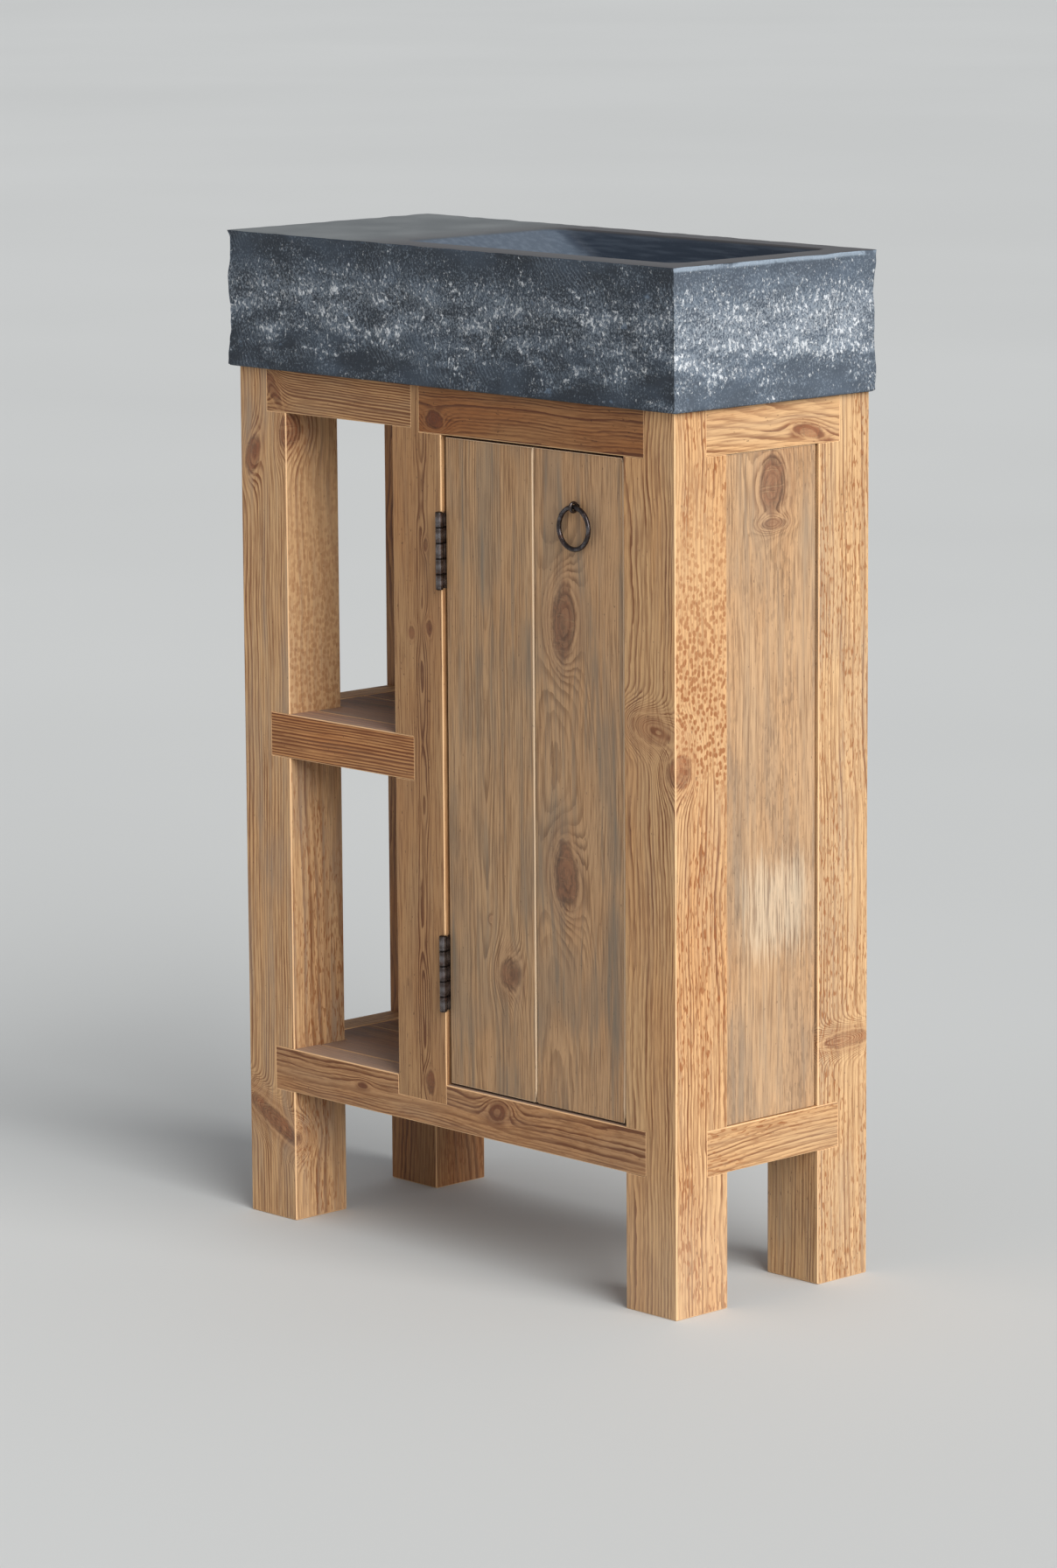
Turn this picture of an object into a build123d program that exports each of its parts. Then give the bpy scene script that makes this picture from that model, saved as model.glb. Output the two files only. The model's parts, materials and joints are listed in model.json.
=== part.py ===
"""Bathroom vanity cabinet of reclaimed pine with a stone basin on top.

Millimetres. X runs to the right, Y to the back, Z up. The origin is on the floor, at the middle of
the basin's width and depth.
"""

from build123d import *
import os

# ---------------------------------------------------------------- overall sizes
cabinet_width = 554
cabinet_depth = 235
cabinet_height = 778
basin_height = 122
basin_side_overhang = 8
basin_front_overhang = 8
basin_back_overhang = 2

# ---------------------------------------------------------------- frame timber
post_size = 62
leg_height = 120
rail_thickness = 30
lap_length = 25
lap_thickness = 15
bottom_rail_height = 40
shelf_rail_height = 40
shelf_top_height = 468
bay_top_rail_height = 38
door_top_rail_height = 41
side_top_rail_height = 40
stile_width = 63
stile_door_side_lap = 28
stile_foot_lap = 18
door_opening_width = 226

# ---------------------------------------------------------------- boards and panels
shelf_thickness = 20
board_gap = 1
cleat_size = 20
divider_thickness = 18
bearer_width = 40
panel_thickness = 18
panel_recess = 2.5
panel_front_gap = 0.5
panel_back_gap = 2
panel_end_gap = 0.5
panel_tongue_thickness = 8
panel_tongue_length = 8
groove_clearance = 0.5

# ---------------------------------------------------------------- door
door_thickness = 22
door_recess = 2.5
door_gap = 2
plank_gap = 0.5
plank_tongue_thickness = 7
plank_tongue_length = 6
latch_edge_bevel = 1
plank_edge_easing = 1
batten_height = 54
batten_thickness = 18
batten_end_inset = 22

# ---------------------------------------------------------------- butt hinges
hinge_length = 66
hinge_end_distance = 66
knuckle_count = 5
knuckle_radius = 3.3
knuckle_gap = 0.3
hinge_pin_radius = 1.6
pin_fit = 0.05
pin_head_height = 1.2
leaf_reach = 24
leaf_thickness = 1.5
leaf_gap = 0.3
leaf_mortise_clearance = 0.15
leaf_inner_screw_reach = 11
leaf_outer_screw_reach = 18
hinge_stand_off = 0.3

# ---------------------------------------------------------------- ring pull
ring_wire_radius = 2.25
ring_mean_radius = 18
ring_below_door_top = 46
eye_wire_radius = 1.3
eye_clearance = 0.4
eye_seat_depth = 0.4
eye_leg_spacing = 2.4
eye_leg_bend_length = 11
eye_hole_clearance = 0.1

# ---------------------------------------------------------------- magnetic catch
catch_height_above_floor = 560
catch_length = 46
catch_width = 12
catch_depth = 16
magnet_length = 30
magnet_width = 8
magnet_depth = 6
catch_fit = 0.1
striker_length = 40
striker_width = 14
striker_thickness = 1.5
striker_edge_distance = 2
catch_air_gap = 0.4

# ---------------------------------------------------------------- screws
screw_fit = 0.05
hinge_screw = dict(shank=1.4, head=2.7, length=16)
batten_screw = dict(shank=2, head=4, length=32)
cleat_screw = dict(shank=2, head=4, length=38)
catch_screw = dict(shank=1.3, head=2.6, length=18)
striker_screw = dict(shank=1.3, head=2.4, length=12)
screw_slot_width = 0.7
screw_slot_depth = 0.6
screw_slot_overrun = 1
screw_edge_distance = 14

# ---------------------------------------------------------------- basin
basin_rim = 30
basin_ledge_width = 196
bowl_depth = 85
bowl_ramp_run = 147
bowl_corner_radius = 14
waste_hole_radius = 22.5
waste_hole_overrun = 1

# ---------------------------------------------------------------- planes worked out from the sizes
basin_width = cabinet_width + 2 * basin_side_overhang
basin_depth = cabinet_depth + basin_front_overhang + basin_back_overhang
left_face = -cabinet_width / 2
right_face = cabinet_width / 2
front_face = -basin_depth / 2 + basin_front_overhang
back_face = front_face + cabinet_depth
left_post_inside = left_face + post_size
right_post_inside = right_face - post_size
front_post_inside = front_face + post_size
back_post_inside = back_face - post_size
left_rail_inside = left_face + rail_thickness
right_rail_inside = right_face - rail_thickness
front_rail_inside = front_face + rail_thickness
back_rail_inside = back_face - rail_thickness

bottom_rail_top = leg_height + bottom_rail_height
shelf_rail_bottom = shelf_top_height - shelf_rail_height
stile_right = right_post_inside - door_opening_width
stile_left = stile_right - stile_width
stile_middle = (stile_left + stile_right) / 2
divider_left = stile_middle - divider_thickness / 2
bearer_bottom = cabinet_height - bay_top_rail_height

door_front = front_face + door_recess
door_back = door_front + door_thickness
door_left = stile_right + door_gap
door_right = right_post_inside - door_gap
door_bottom = bottom_rail_top + door_gap
door_top = cabinet_height - door_top_rail_height - door_gap
plank_joint = (door_left + door_right) / 2

hinge_axis_x = stile_right + door_gap / 2
hinge_axis_y = front_face - knuckle_radius - hinge_stand_off
upper_hinge_top = door_top - hinge_end_distance
lower_hinge_top = door_bottom + hinge_end_distance + hinge_length

eye_inner_radius = ring_wire_radius + eye_clearance
eye_mean_radius = eye_inner_radius + eye_wire_radius
eye_outer_radius = eye_mean_radius + eye_wire_radius
ring_pull_x = (plank_joint + door_right) / 2
ring_pull_z = door_top - ring_below_door_top
eye_centre_y = door_front + eye_seat_depth - eye_outer_radius


# ---------------------------------------------------------------- plain shapes
def block(x_limits, y_limits, z_limits):
    """A square-cornered block between a low and a high limit along each axis."""
    limits = [sorted(pair) for pair in (x_limits, y_limits, z_limits)]
    sizes = [high - low for low, high in limits]
    middles = [(low + high) / 2 for low, high in limits]
    return Pos(*middles) * Box(*sizes)


def rod(start, end, radius):
    """A round rod from one point to another."""
    way = Vector(*end) - Vector(*start)
    middle = (Vector(*start) + Vector(*end)) / 2
    return Plane(origin=middle, z_dir=way) * Cylinder(radius, way.length)


def screw_body(screw, spare=0):
    """A countersunk screw along -Z with the top of its head at Z = 0, grown by the spare given."""
    head = screw["head"] + spare
    shank = screw["shank"] + spare
    head_height = head - shank
    cone = Pos(0, 0, -head_height / 2) * Cone(shank, head, head_height)
    length = screw["length"] + spare
    return cone + Pos(0, 0, -length / 2) * Cylinder(shank, length)


def screws(screw, heads, out_of):
    """Slotted screws with their heads at the points given, facing along out_of."""
    slot = Box(2 * screw["head"] + screw_slot_overrun, screw_slot_width, 2 * screw_slot_depth)
    slotted = screw_body(screw) - slot
    return Compound([Plane(origin=head, z_dir=out_of) * slotted for head in heads])


def screw_holes(screw, heads, out_of):
    """What the screws take out of the wood or metal round them."""
    hole = screw_body(screw, screw_fit)
    mouth = Pos(0, 0, screw_fit / 2) * Cylinder(screw["head"] + screw_fit, screw_fit)
    return [Plane(origin=head, z_dir=out_of) * (hole + mouth) for head in heads]


# ---------------------------------------------------------------- frame rails
def rail_along_x(face, inward, shoulders, laps, z_limits):
    """A rail flush with the front or back face. Its outer half runs on past each shoulder as a lap."""
    outer = (face, face + inward * lap_thickness)
    inner = (face + inward * lap_thickness, face + inward * rail_thickness)
    full_length = (shoulders[0] - laps[0], shoulders[1] + laps[1])
    return block(full_length, outer, z_limits) + block(shoulders, inner, z_limits)


def rail_along_y(face, inward, z_limits):
    """A rail flush with the left or right face, lapped into the posts at both ends."""
    outer = (face, face + inward * lap_thickness)
    inner = (face + inward * lap_thickness, face + inward * rail_thickness)
    full_length = (front_post_inside - lap_length, back_post_inside + lap_length)
    shoulders = (front_post_inside, back_post_inside)
    return block(outer, full_length, z_limits) + block(inner, shoulders, z_limits)


bottom_rail_z = (leg_height, bottom_rail_top)
shelf_rail_z = (shelf_rail_bottom, shelf_top_height)
side_top_rail_z = (cabinet_height - side_top_rail_height, cabinet_height)
bay_top_rail_z = (cabinet_height - bay_top_rail_height, cabinet_height)
door_top_rail_z = (cabinet_height - door_top_rail_height, cabinet_height)
between_posts_x = (left_post_inside, right_post_inside)
post_laps = (lap_length, lap_length)


def stile_foot():
    """The front half of the stile's foot, which laps down over the bottom rail."""
    return block(
        (stile_left, stile_right),
        (front_face, front_face + lap_thickness),
        (bottom_rail_top - stile_foot_lap, bottom_rail_top),
    )


def front_rails():
    bay = (left_post_inside, stile_left)
    doorway = (stile_right, right_post_inside)
    bottom = rail_along_x(front_face, 1, between_posts_x, post_laps, bottom_rail_z)
    return {
        "front_top_rail_left": rail_along_x(front_face, 1, bay, post_laps, bay_top_rail_z),
        "front_top_rail_right": rail_along_x(
            front_face, 1, doorway, (stile_door_side_lap, lap_length), door_top_rail_z
        ),
        "shelf_front_rail": rail_along_x(front_face, 1, bay, post_laps, shelf_rail_z),
        "front_bottom_rail": bottom - stile_foot(),
    }


def back_rails():
    heights = {"top": side_top_rail_z, "middle": shelf_rail_z, "bottom": bottom_rail_z}
    return {
        f"back_{place}_rail": rail_along_x(back_face, -1, between_posts_x, post_laps, height)
        for place, height in heights.items()
    }


def side_rails():
    left = {"top": side_top_rail_z, "middle": shelf_rail_z, "bottom": bottom_rail_z}
    right = {"top": side_top_rail_z, "bottom": bottom_rail_z}
    rails = {f"left_{place}_rail": rail_along_y(left_face, 1, z) for place, z in left.items()}
    for place, z in right.items():
        rails[f"right_{place}_rail"] = rail_along_y(right_face, -1, z)
    return rails


# ---------------------------------------------------------------- posts and stile
def posts():
    left = (left_face, left_post_inside)
    right = (right_post_inside, right_face)
    front = (front_face, front_post_inside)
    back = (back_post_inside, back_face)
    full_height = (0, cabinet_height)
    return {
        "post_front_left": block(left, front, full_height),
        "post_front_right": block(right, front, full_height),
        "post_back_left": block(left, back, full_height),
        "post_back_right": block(right, back, full_height),
    }


def middle_stile():
    """The upright between the open bay and the door."""
    upright = block(
        (stile_left, stile_right),
        (front_face, front_rail_inside),
        (bottom_rail_top, cabinet_height),
    )
    return upright + stile_foot()


# ---------------------------------------------------------------- right side panel
panel_outer_x = right_face - panel_recess
panel_middle_x = panel_outer_x - panel_thickness / 2
panel_z = (bottom_rail_top, cabinet_height - side_top_rail_height)


def panel_tongues(spare, gap):
    """The cross of tongues round the side panel: one pair into the posts, one into the rails."""
    half = panel_tongue_thickness / 2 + spare
    thickness = (panel_middle_x - half, panel_middle_x + half)
    reach = panel_tongue_length + spare
    into_posts = block(
        thickness,
        (front_post_inside - reach, back_post_inside + reach),
        (panel_z[0] + gap, panel_z[1] - gap),
    )
    into_rails = block(
        thickness,
        (front_post_inside + gap, back_post_inside - gap),
        (panel_z[0] - reach, panel_z[1] + reach),
    )
    return into_posts + into_rails


def side_panel():
    board = block(
        (panel_outer_x - panel_thickness, panel_outer_x),
        (front_post_inside + panel_front_gap, back_post_inside - panel_back_gap),
        (panel_z[0] + panel_end_gap, panel_z[1] - panel_end_gap),
    )
    return board + panel_tongues(0, board_gap)


# ---------------------------------------------------------------- inside boards
def notched_round_posts(board):
    """The board, cut away where the four posts stand, with a small gap."""
    for x_inside, x_outside in ((left_post_inside, left_face), (right_post_inside, right_face)):
        x_gap = board_gap if x_inside > x_outside else -board_gap
        for y_inside, y_outside in ((front_post_inside, front_face), (back_post_inside, back_face)):
            y_gap = board_gap if y_inside > y_outside else -board_gap
            board -= block(
                (x_inside + x_gap, x_outside),
                (y_inside + y_gap, y_outside),
                (0, cabinet_height),
            )
    return board


def board_pair(name, x_limits, top):
    """A front and a back board, side by side, with their top faces at the height given."""
    middle = (front_rail_inside + back_rail_inside) / 2
    z_limits = (top - shelf_thickness, top)
    front = block(x_limits, (front_rail_inside + board_gap, middle - board_gap / 2), z_limits)
    back = block(x_limits, (middle + board_gap / 2, back_rail_inside - board_gap), z_limits)
    return {
        f"{name}_board_front": notched_round_posts(front),
        f"{name}_board_back": notched_round_posts(back),
    }


def inside_boards():
    shelf_x = (left_rail_inside + board_gap, divider_left - board_gap)
    bottom_x = (left_rail_inside + board_gap, right_rail_inside - board_gap)
    boards = board_pair("shelf", shelf_x, shelf_top_height)
    boards |= board_pair("bottom", bottom_x, bottom_rail_top)
    inside_y = (front_rail_inside, back_rail_inside)
    boards["divider_panel"] = block(
        (divider_left, divider_left + divider_thickness),
        inside_y,
        (bottom_rail_top, bearer_bottom),
    )
    boards["top_bearer"] = block(
        (stile_middle - bearer_width / 2, stile_middle + bearer_width / 2),
        inside_y,
        (bearer_bottom, cabinet_height),
    )
    return boards


# ---------------------------------------------------------------- cleats under the boards
shelf_cleat_z = (shelf_top_height - shelf_thickness - cleat_size, shelf_top_height - shelf_thickness)
bottom_cleat_z = (bottom_rail_top - shelf_thickness - cleat_size, bottom_rail_top - shelf_thickness)
side_cleat_y = (front_post_inside, back_post_inside)


def cleats():
    return {
        "shelf_cleat_left": block(
            (left_rail_inside, left_rail_inside + cleat_size), side_cleat_y, shelf_cleat_z
        ),
        "shelf_cleat_right": block(
            (divider_left - cleat_size, divider_left),
            (front_rail_inside, back_rail_inside),
            shelf_cleat_z,
        ),
        "bottom_cleat_front": block(
            between_posts_x, (front_rail_inside, front_rail_inside + cleat_size), bottom_cleat_z
        ),
        "bottom_cleat_back": block(
            between_posts_x, (back_rail_inside - cleat_size, back_rail_inside), bottom_cleat_z
        ),
    }


def cleat_screw_rows():
    """Each row is the heads' points and the way the heads face."""
    shelf_z = sum(shelf_cleat_z) / 2
    bottom_z = sum(bottom_cleat_z) / 2
    near_ends_y = [side_cleat_y[0] + screw_edge_distance, side_cleat_y[1] - screw_edge_distance]
    ends_x = [between_posts_x[0] + screw_edge_distance, between_posts_x[1] - screw_edge_distance]
    along_x = [*ends_x, sum(ends_x) / 2]
    front_heads = [(x, front_rail_inside + cleat_size, bottom_z) for x in along_x]
    back_heads = [(x, back_rail_inside - cleat_size, bottom_z) for x in along_x]
    left_heads = [(left_rail_inside + cleat_size, y, shelf_z) for y in near_ends_y]
    right_heads = [(divider_left - cleat_size, y, shelf_z) for y in near_ends_y]
    return [
        (front_heads, (0, 1, 0)),
        (back_heads, (0, -1, 0)),
        (left_heads, (1, 0, 0)),
        (right_heads, (-1, 0, 0)),
    ]


# ---------------------------------------------------------------- door
door_y = (door_front, door_back)
door_z = (door_bottom, door_top)
plank_tongue_y = (
    (door_front + door_back - plank_tongue_thickness) / 2,
    (door_front + door_back + plank_tongue_thickness) / 2,
)


def eased(plank):
    """The plank with its upright front arrises taken off."""
    arrises = plank.edges().filter_by(Axis.Z).group_by(Axis.Y)[0]
    return chamfer(arrises, plank_edge_easing)


def door_plank_left():
    plank = eased(block((door_left, plank_joint - plank_gap / 2), door_y, door_z))
    groove_depth = plank_tongue_length + groove_clearance
    groove = block(
        (plank_joint - plank_gap / 2 - groove_depth, plank_joint),
        (plank_tongue_y[0] - groove_clearance / 2, plank_tongue_y[1] + groove_clearance / 2),
        door_z,
    )
    return plank - groove


def door_plank_right():
    plank = eased(block((plank_joint + plank_gap / 2, door_right), door_y, door_z))
    tongue_end = plank_joint - plank_gap / 2 - plank_tongue_length
    tongue = block((tongue_end, plank_joint + plank_gap / 2), plank_tongue_y, door_z)
    bevel = Plane.XY * Polygon(
        (door_right, door_front + plank_edge_easing),
        (door_right + latch_edge_bevel, door_back),
        (door_right - latch_edge_bevel, door_back),
        align=None,
    )
    bevel_cut = extrude(Pos(0, 0, door_bottom) * bevel, door_top - door_bottom)
    return plank + tongue - bevel_cut


def hinge_middle(hinge_top):
    return hinge_top - hinge_length / 2


def batten(hinge_top):
    """A ledge across the back of the planks, level with a hinge."""
    middle = hinge_middle(hinge_top)
    return block(
        (door_left + batten_end_inset, door_right - batten_end_inset),
        (door_back, door_back + batten_thickness),
        (middle - batten_height / 2, middle + batten_height / 2),
    )


def batten_screw_heads():
    heads = []
    for low_x, high_x in ((door_left + batten_end_inset, plank_joint), (plank_joint, door_right)):
        edge = batten_end_inset if high_x == door_right else 0
        for x in (low_x + screw_edge_distance, high_x - edge - screw_edge_distance):
            for hinge_top in (upper_hinge_top, lower_hinge_top):
                heads.append((x, door_back + batten_thickness, hinge_middle(hinge_top)))
    return heads


# ---------------------------------------------------------------- butt hinges
knuckle_length = (hinge_length - (knuckle_count - 1) * knuckle_gap) / knuckle_count
hinge_bore_radius = hinge_pin_radius + pin_fit
leaf_edge_y = hinge_axis_y + leaf_reach
leaf_plane = leaf_gap / 2
leaf_mortise_depth = leaf_plane + leaf_thickness - door_gap / 2 + leaf_mortise_clearance


def leaf(hinge_top, side):
    """One leaf with its share of the knuckles: side -1 is screwed to the stile, 1 to the door."""
    near = hinge_axis_x + side * leaf_plane
    far = near + side * leaf_thickness
    plate_start = hinge_axis_y + knuckle_radius + knuckle_gap
    plate = block((near, far), (plate_start, leaf_edge_y), (hinge_top - hinge_length, hinge_top))
    first = 0 if side < 0 else 1
    for number in range(first, knuckle_count, 2):
        top = hinge_top - number * (knuckle_length + knuckle_gap)
        bottom = top - knuckle_length
        barrel = rod(
            (hinge_axis_x, hinge_axis_y, bottom), (hinge_axis_x, hinge_axis_y, top), knuckle_radius
        )
        plate += barrel
        plate += block((near, far), (hinge_axis_y, plate_start), (bottom, top))
    bore = rod(
        (hinge_axis_x, hinge_axis_y, hinge_top - hinge_length - knuckle_gap),
        (hinge_axis_x, hinge_axis_y, hinge_top + knuckle_gap),
        hinge_bore_radius,
    )
    return plate - bore


def hinge_pin(hinge_top):
    """A pin with a low round head at each end."""
    low = hinge_top - hinge_length - pin_fit
    high = hinge_top + pin_fit
    shaft = rod((hinge_axis_x, hinge_axis_y, low), (hinge_axis_x, hinge_axis_y, high), hinge_pin_radius)
    upper_head = rod(
        (hinge_axis_x, hinge_axis_y, high),
        (hinge_axis_x, hinge_axis_y, high + pin_head_height),
        knuckle_radius - pin_fit,
    )
    lower_head = rod(
        (hinge_axis_x, hinge_axis_y, low - pin_head_height),
        (hinge_axis_x, hinge_axis_y, low),
        knuckle_radius - pin_fit,
    )
    heads = chamfer(upper_head.edges().group_by(Axis.Z)[-1], pin_head_height / 2)
    heads += chamfer(lower_head.edges().group_by(Axis.Z)[0], pin_head_height / 2)
    return shaft + heads


def leaf_mortise(hinge_top, side):
    """The shallow seat that a leaf is let into, in the stile's edge or the door's edge."""
    wood_edge = stile_right if side < 0 else door_left
    return block(
        (wood_edge + side * leaf_mortise_depth, wood_edge - side * door_gap / 2),
        (hinge_axis_y, leaf_edge_y + leaf_mortise_clearance),
        (hinge_top - hinge_length - leaf_mortise_clearance, hinge_top + leaf_mortise_clearance),
    )


def hinge_screw_heads(side):
    """Three screws a leaf, set zigzag, their heads flush with the leaf's open face."""
    heads = []
    open_face = hinge_axis_x + side * leaf_plane
    near_knuckle = hinge_axis_y + leaf_inner_screw_reach
    near_edge = hinge_axis_y + leaf_outer_screw_reach
    for hinge_top in (upper_hinge_top, lower_hinge_top):
        middle = hinge_middle(hinge_top)
        spread = hinge_length / 2 - screw_edge_distance
        heads.append((open_face, near_edge, middle + spread))
        heads.append((open_face, near_knuckle, middle))
        heads.append((open_face, near_edge, middle - spread))
    return heads


# ---------------------------------------------------------------- ring pull
def ring_eye():
    """A split pin: a loop, two legs through the door, and their ends bent apart behind it."""
    upright_loop = Plane(origin=(ring_pull_x, eye_centre_y, ring_pull_z), z_dir=(1, 0, 0))
    eye = upright_loop * Torus(eye_mean_radius, eye_wire_radius)
    bend_y = door_back + eye_wire_radius + eye_hole_clearance
    for way in (-1, 1):
        leg_z = ring_pull_z + way * eye_leg_spacing / 2
        elbow = (ring_pull_x, bend_y, leg_z)
        tip = (ring_pull_x, bend_y, leg_z + way * eye_leg_bend_length)
        leg_start = (ring_pull_x, eye_centre_y + eye_mean_radius, leg_z)
        eye += rod(leg_start, elbow, eye_wire_radius)
        eye += rod(elbow, tip, eye_wire_radius)
        eye += Pos(*elbow) * Sphere(eye_wire_radius)
        eye += Pos(*tip) * Sphere(eye_wire_radius)
    return eye


def eye_hole():
    radius = eye_leg_spacing / 2 + eye_wire_radius + eye_hole_clearance
    return rod(
        (ring_pull_x, door_front - door_gap, ring_pull_z),
        (ring_pull_x, door_back + door_gap, ring_pull_z),
        radius,
    )


def pull_ring():
    """The ring hangs from the middle of its own top wire, which lies in the eye."""
    centre = (ring_pull_x, eye_centre_y, ring_pull_z - ring_mean_radius)
    return Plane(origin=centre, z_dir=(0, 1, 0)) * Torus(ring_mean_radius, ring_wire_radius)


# ---------------------------------------------------------------- magnetic catch
catch_front = door_back + striker_thickness + catch_air_gap
catch_middle_x = right_post_inside - catch_width / 2
catch_z = (
    catch_height_above_floor - catch_length / 2,
    catch_height_above_floor + catch_length / 2,
)


def magnet_space(spare):
    return block(
        (catch_middle_x - magnet_width / 2 - spare, catch_middle_x + magnet_width / 2 + spare),
        (catch_front - spare, catch_front + magnet_depth + spare),
        (
            catch_height_above_floor - magnet_length / 2 - spare,
            catch_height_above_floor + magnet_length / 2 + spare,
        ),
    )


def catch_screw_heads():
    inset = (catch_length - magnet_length) / 4
    middle_y = catch_front + catch_depth / 2
    face = right_post_inside - catch_width
    return [(face, middle_y, catch_z[0] + inset), (face, middle_y, catch_z[1] - inset)]


def catch_body():
    case = block(
        (right_post_inside - catch_width, right_post_inside),
        (catch_front, catch_front + catch_depth),
        catch_z,
    )
    return case - magnet_space(catch_fit)


striker_x = (
    door_right - latch_edge_bevel - striker_edge_distance - striker_width,
    door_right - latch_edge_bevel - striker_edge_distance,
)


def catch_striker():
    return block(
        striker_x,
        (door_back, door_back + striker_thickness),
        (
            catch_height_above_floor - striker_length / 2,
            catch_height_above_floor + striker_length / 2,
        ),
    )


def striker_screw_heads():
    reach = striker_length / 2 - striker_width / 2
    middle_x = sum(striker_x) / 2
    face = door_back + striker_thickness
    return [(middle_x, face, catch_height_above_floor + way * reach) for way in (-1, 1)]


# ---------------------------------------------------------------- basin
basin_top = cabinet_height + basin_height
bowl_floor = basin_top - bowl_depth
bowl_left = -basin_width / 2 + basin_ledge_width
bowl_right = basin_width / 2 - basin_rim


def bowl():
    """The hollow: upright front, right and back walls, and a ramp down from the ledge on the left."""
    outline = Plane.XZ * Polygon(
        (bowl_left, basin_top),
        (bowl_left + bowl_ramp_run, bowl_floor),
        (bowl_right, bowl_floor),
        (bowl_right, basin_top),
        align=None,
    )
    bowl_width = basin_depth - 2 * basin_rim
    hollow = extrude(outline, bowl_width / 2, both=True)
    top_edges = hollow.edges().group_by(Axis.Z)[-1]
    rounded = [edge for edge in hollow.edges() if edge not in top_edges]
    return fillet(rounded, bowl_corner_radius)


def waste_hole():
    flat_middle = (bowl_left + bowl_ramp_run + bowl_right) / 2
    bottom = cabinet_height - waste_hole_overrun
    return rod((flat_middle, 0, bottom), (flat_middle, 0, basin_top), waste_hole_radius)


def basin():
    stone = block(
        (-basin_width / 2, basin_width / 2),
        (-basin_depth / 2, basin_depth / 2),
        (cabinet_height, basin_top),
    )
    return stone - bowl() - waste_hole()


# ---------------------------------------------------------------- the whole cabinet
def cut_all(piece, tools):
    for tool in tools:
        piece = piece - tool
    return piece


def frame_pieces():
    """Rails first, then the posts and stile trenched to take their laps, then the panel grooves."""
    rails = front_rails() | back_rails() | side_rails()
    uprights = posts()
    uprights = {name: cut_all(post, rails.values()) for name, post in uprights.items()}
    stile = cut_all(middle_stile(), front_rails().values())
    grooves = panel_tongues(groove_clearance, -groove_clearance)
    for name in ("post_front_right", "post_back_right"):
        uprights[name] = uprights[name] - grooves
    for name in ("right_top_rail", "right_bottom_rail"):
        rails[name] = rails[name] - grooves
    return rails | uprights | {"middle_stile": stile, "side_panel": side_panel()}


def add_cleat_screws(pieces):
    """Screws through each cleat into the rail or panel behind it."""
    heads_and_ways = cleat_screw_rows()
    behind = {
        "bottom_cleat_front": "front_bottom_rail",
        "bottom_cleat_back": "back_bottom_rail",
        "shelf_cleat_left": "left_middle_rail",
        "shelf_cleat_right": "divider_panel",
    }
    group = []
    for (heads, way), (cleat, backing) in zip(heads_and_ways, behind.items()):
        holes = screw_holes(cleat_screw, heads, way)
        pieces[cleat] = cut_all(pieces[cleat], holes)
        pieces[backing] = cut_all(pieces[backing], holes)
        group += screws(cleat_screw, heads, way).solids()
    pieces["cleat_screws"] = Compound(group)


def door_pieces():
    batten_holes = screw_holes(batten_screw, batten_screw_heads(), (0, 1, 0))
    hinge_holes = screw_holes(hinge_screw, hinge_screw_heads(1), (-1, 0, 0))
    striker_holes = screw_holes(striker_screw, striker_screw_heads(), (0, 1, 0))
    mortises = [leaf_mortise(top, 1) for top in (upper_hinge_top, lower_hinge_top)]
    return {
        "door_plank_left": cut_all(door_plank_left(), mortises + hinge_holes + batten_holes),
        "door_plank_right": cut_all(door_plank_right(), [eye_hole()] + batten_holes + striker_holes),
        "door_batten_top": cut_all(batten(upper_hinge_top), batten_holes),
        "door_batten_bottom": cut_all(batten(lower_hinge_top), batten_holes),
        "door_batten_screws": screws(batten_screw, batten_screw_heads(), (0, 1, 0)),
        "catch_striker": cut_all(catch_striker(), striker_holes),
        "striker_screws": screws(striker_screw, striker_screw_heads(), (0, 1, 0)),
        "ring_eye": ring_eye(),
        "pull_ring": pull_ring(),
    }


def hinge_pieces():
    pieces = {}
    frame_holes = screw_holes(hinge_screw, hinge_screw_heads(-1), (1, 0, 0))
    door_holes = screw_holes(hinge_screw, hinge_screw_heads(1), (-1, 0, 0))
    for place, top in (("upper", upper_hinge_top), ("lower", lower_hinge_top)):
        pieces[f"{place}_hinge_frame_leaf"] = cut_all(leaf(top, -1), frame_holes)
        pieces[f"{place}_hinge_door_leaf"] = cut_all(leaf(top, 1), door_holes)
        pieces[f"{place}_hinge_pin"] = hinge_pin(top)
    pieces["hinge_screws_frame"] = screws(hinge_screw, hinge_screw_heads(-1), (1, 0, 0))
    pieces["hinge_screws_door"] = screws(hinge_screw, hinge_screw_heads(1), (-1, 0, 0))
    return pieces


def catch_pieces():
    holes = screw_holes(catch_screw, catch_screw_heads(), (-1, 0, 0))
    return {
        "catch_body": cut_all(catch_body(), holes),
        "catch_magnet": magnet_space(0),
        "catch_screws": screws(catch_screw, catch_screw_heads(), (-1, 0, 0)),
    }


def cabinet():
    pieces = frame_pieces() | inside_boards() | cleats()
    stile_cuts = [leaf_mortise(top, -1) for top in (upper_hinge_top, lower_hinge_top)]
    stile_cuts += screw_holes(hinge_screw, hinge_screw_heads(-1), (1, 0, 0))
    pieces["middle_stile"] = cut_all(pieces["middle_stile"], stile_cuts)
    catch_holes = screw_holes(catch_screw, catch_screw_heads(), (-1, 0, 0))
    pieces["post_front_right"] = cut_all(pieces["post_front_right"], catch_holes)
    add_cleat_screws(pieces)
    return pieces | door_pieces() | hinge_pieces() | catch_pieces() | {"basin": basin()}


os.makedirs("parts", exist_ok=True)
for node, piece in cabinet().items():
    export_step(piece, f"parts/{node}.step")
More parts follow.
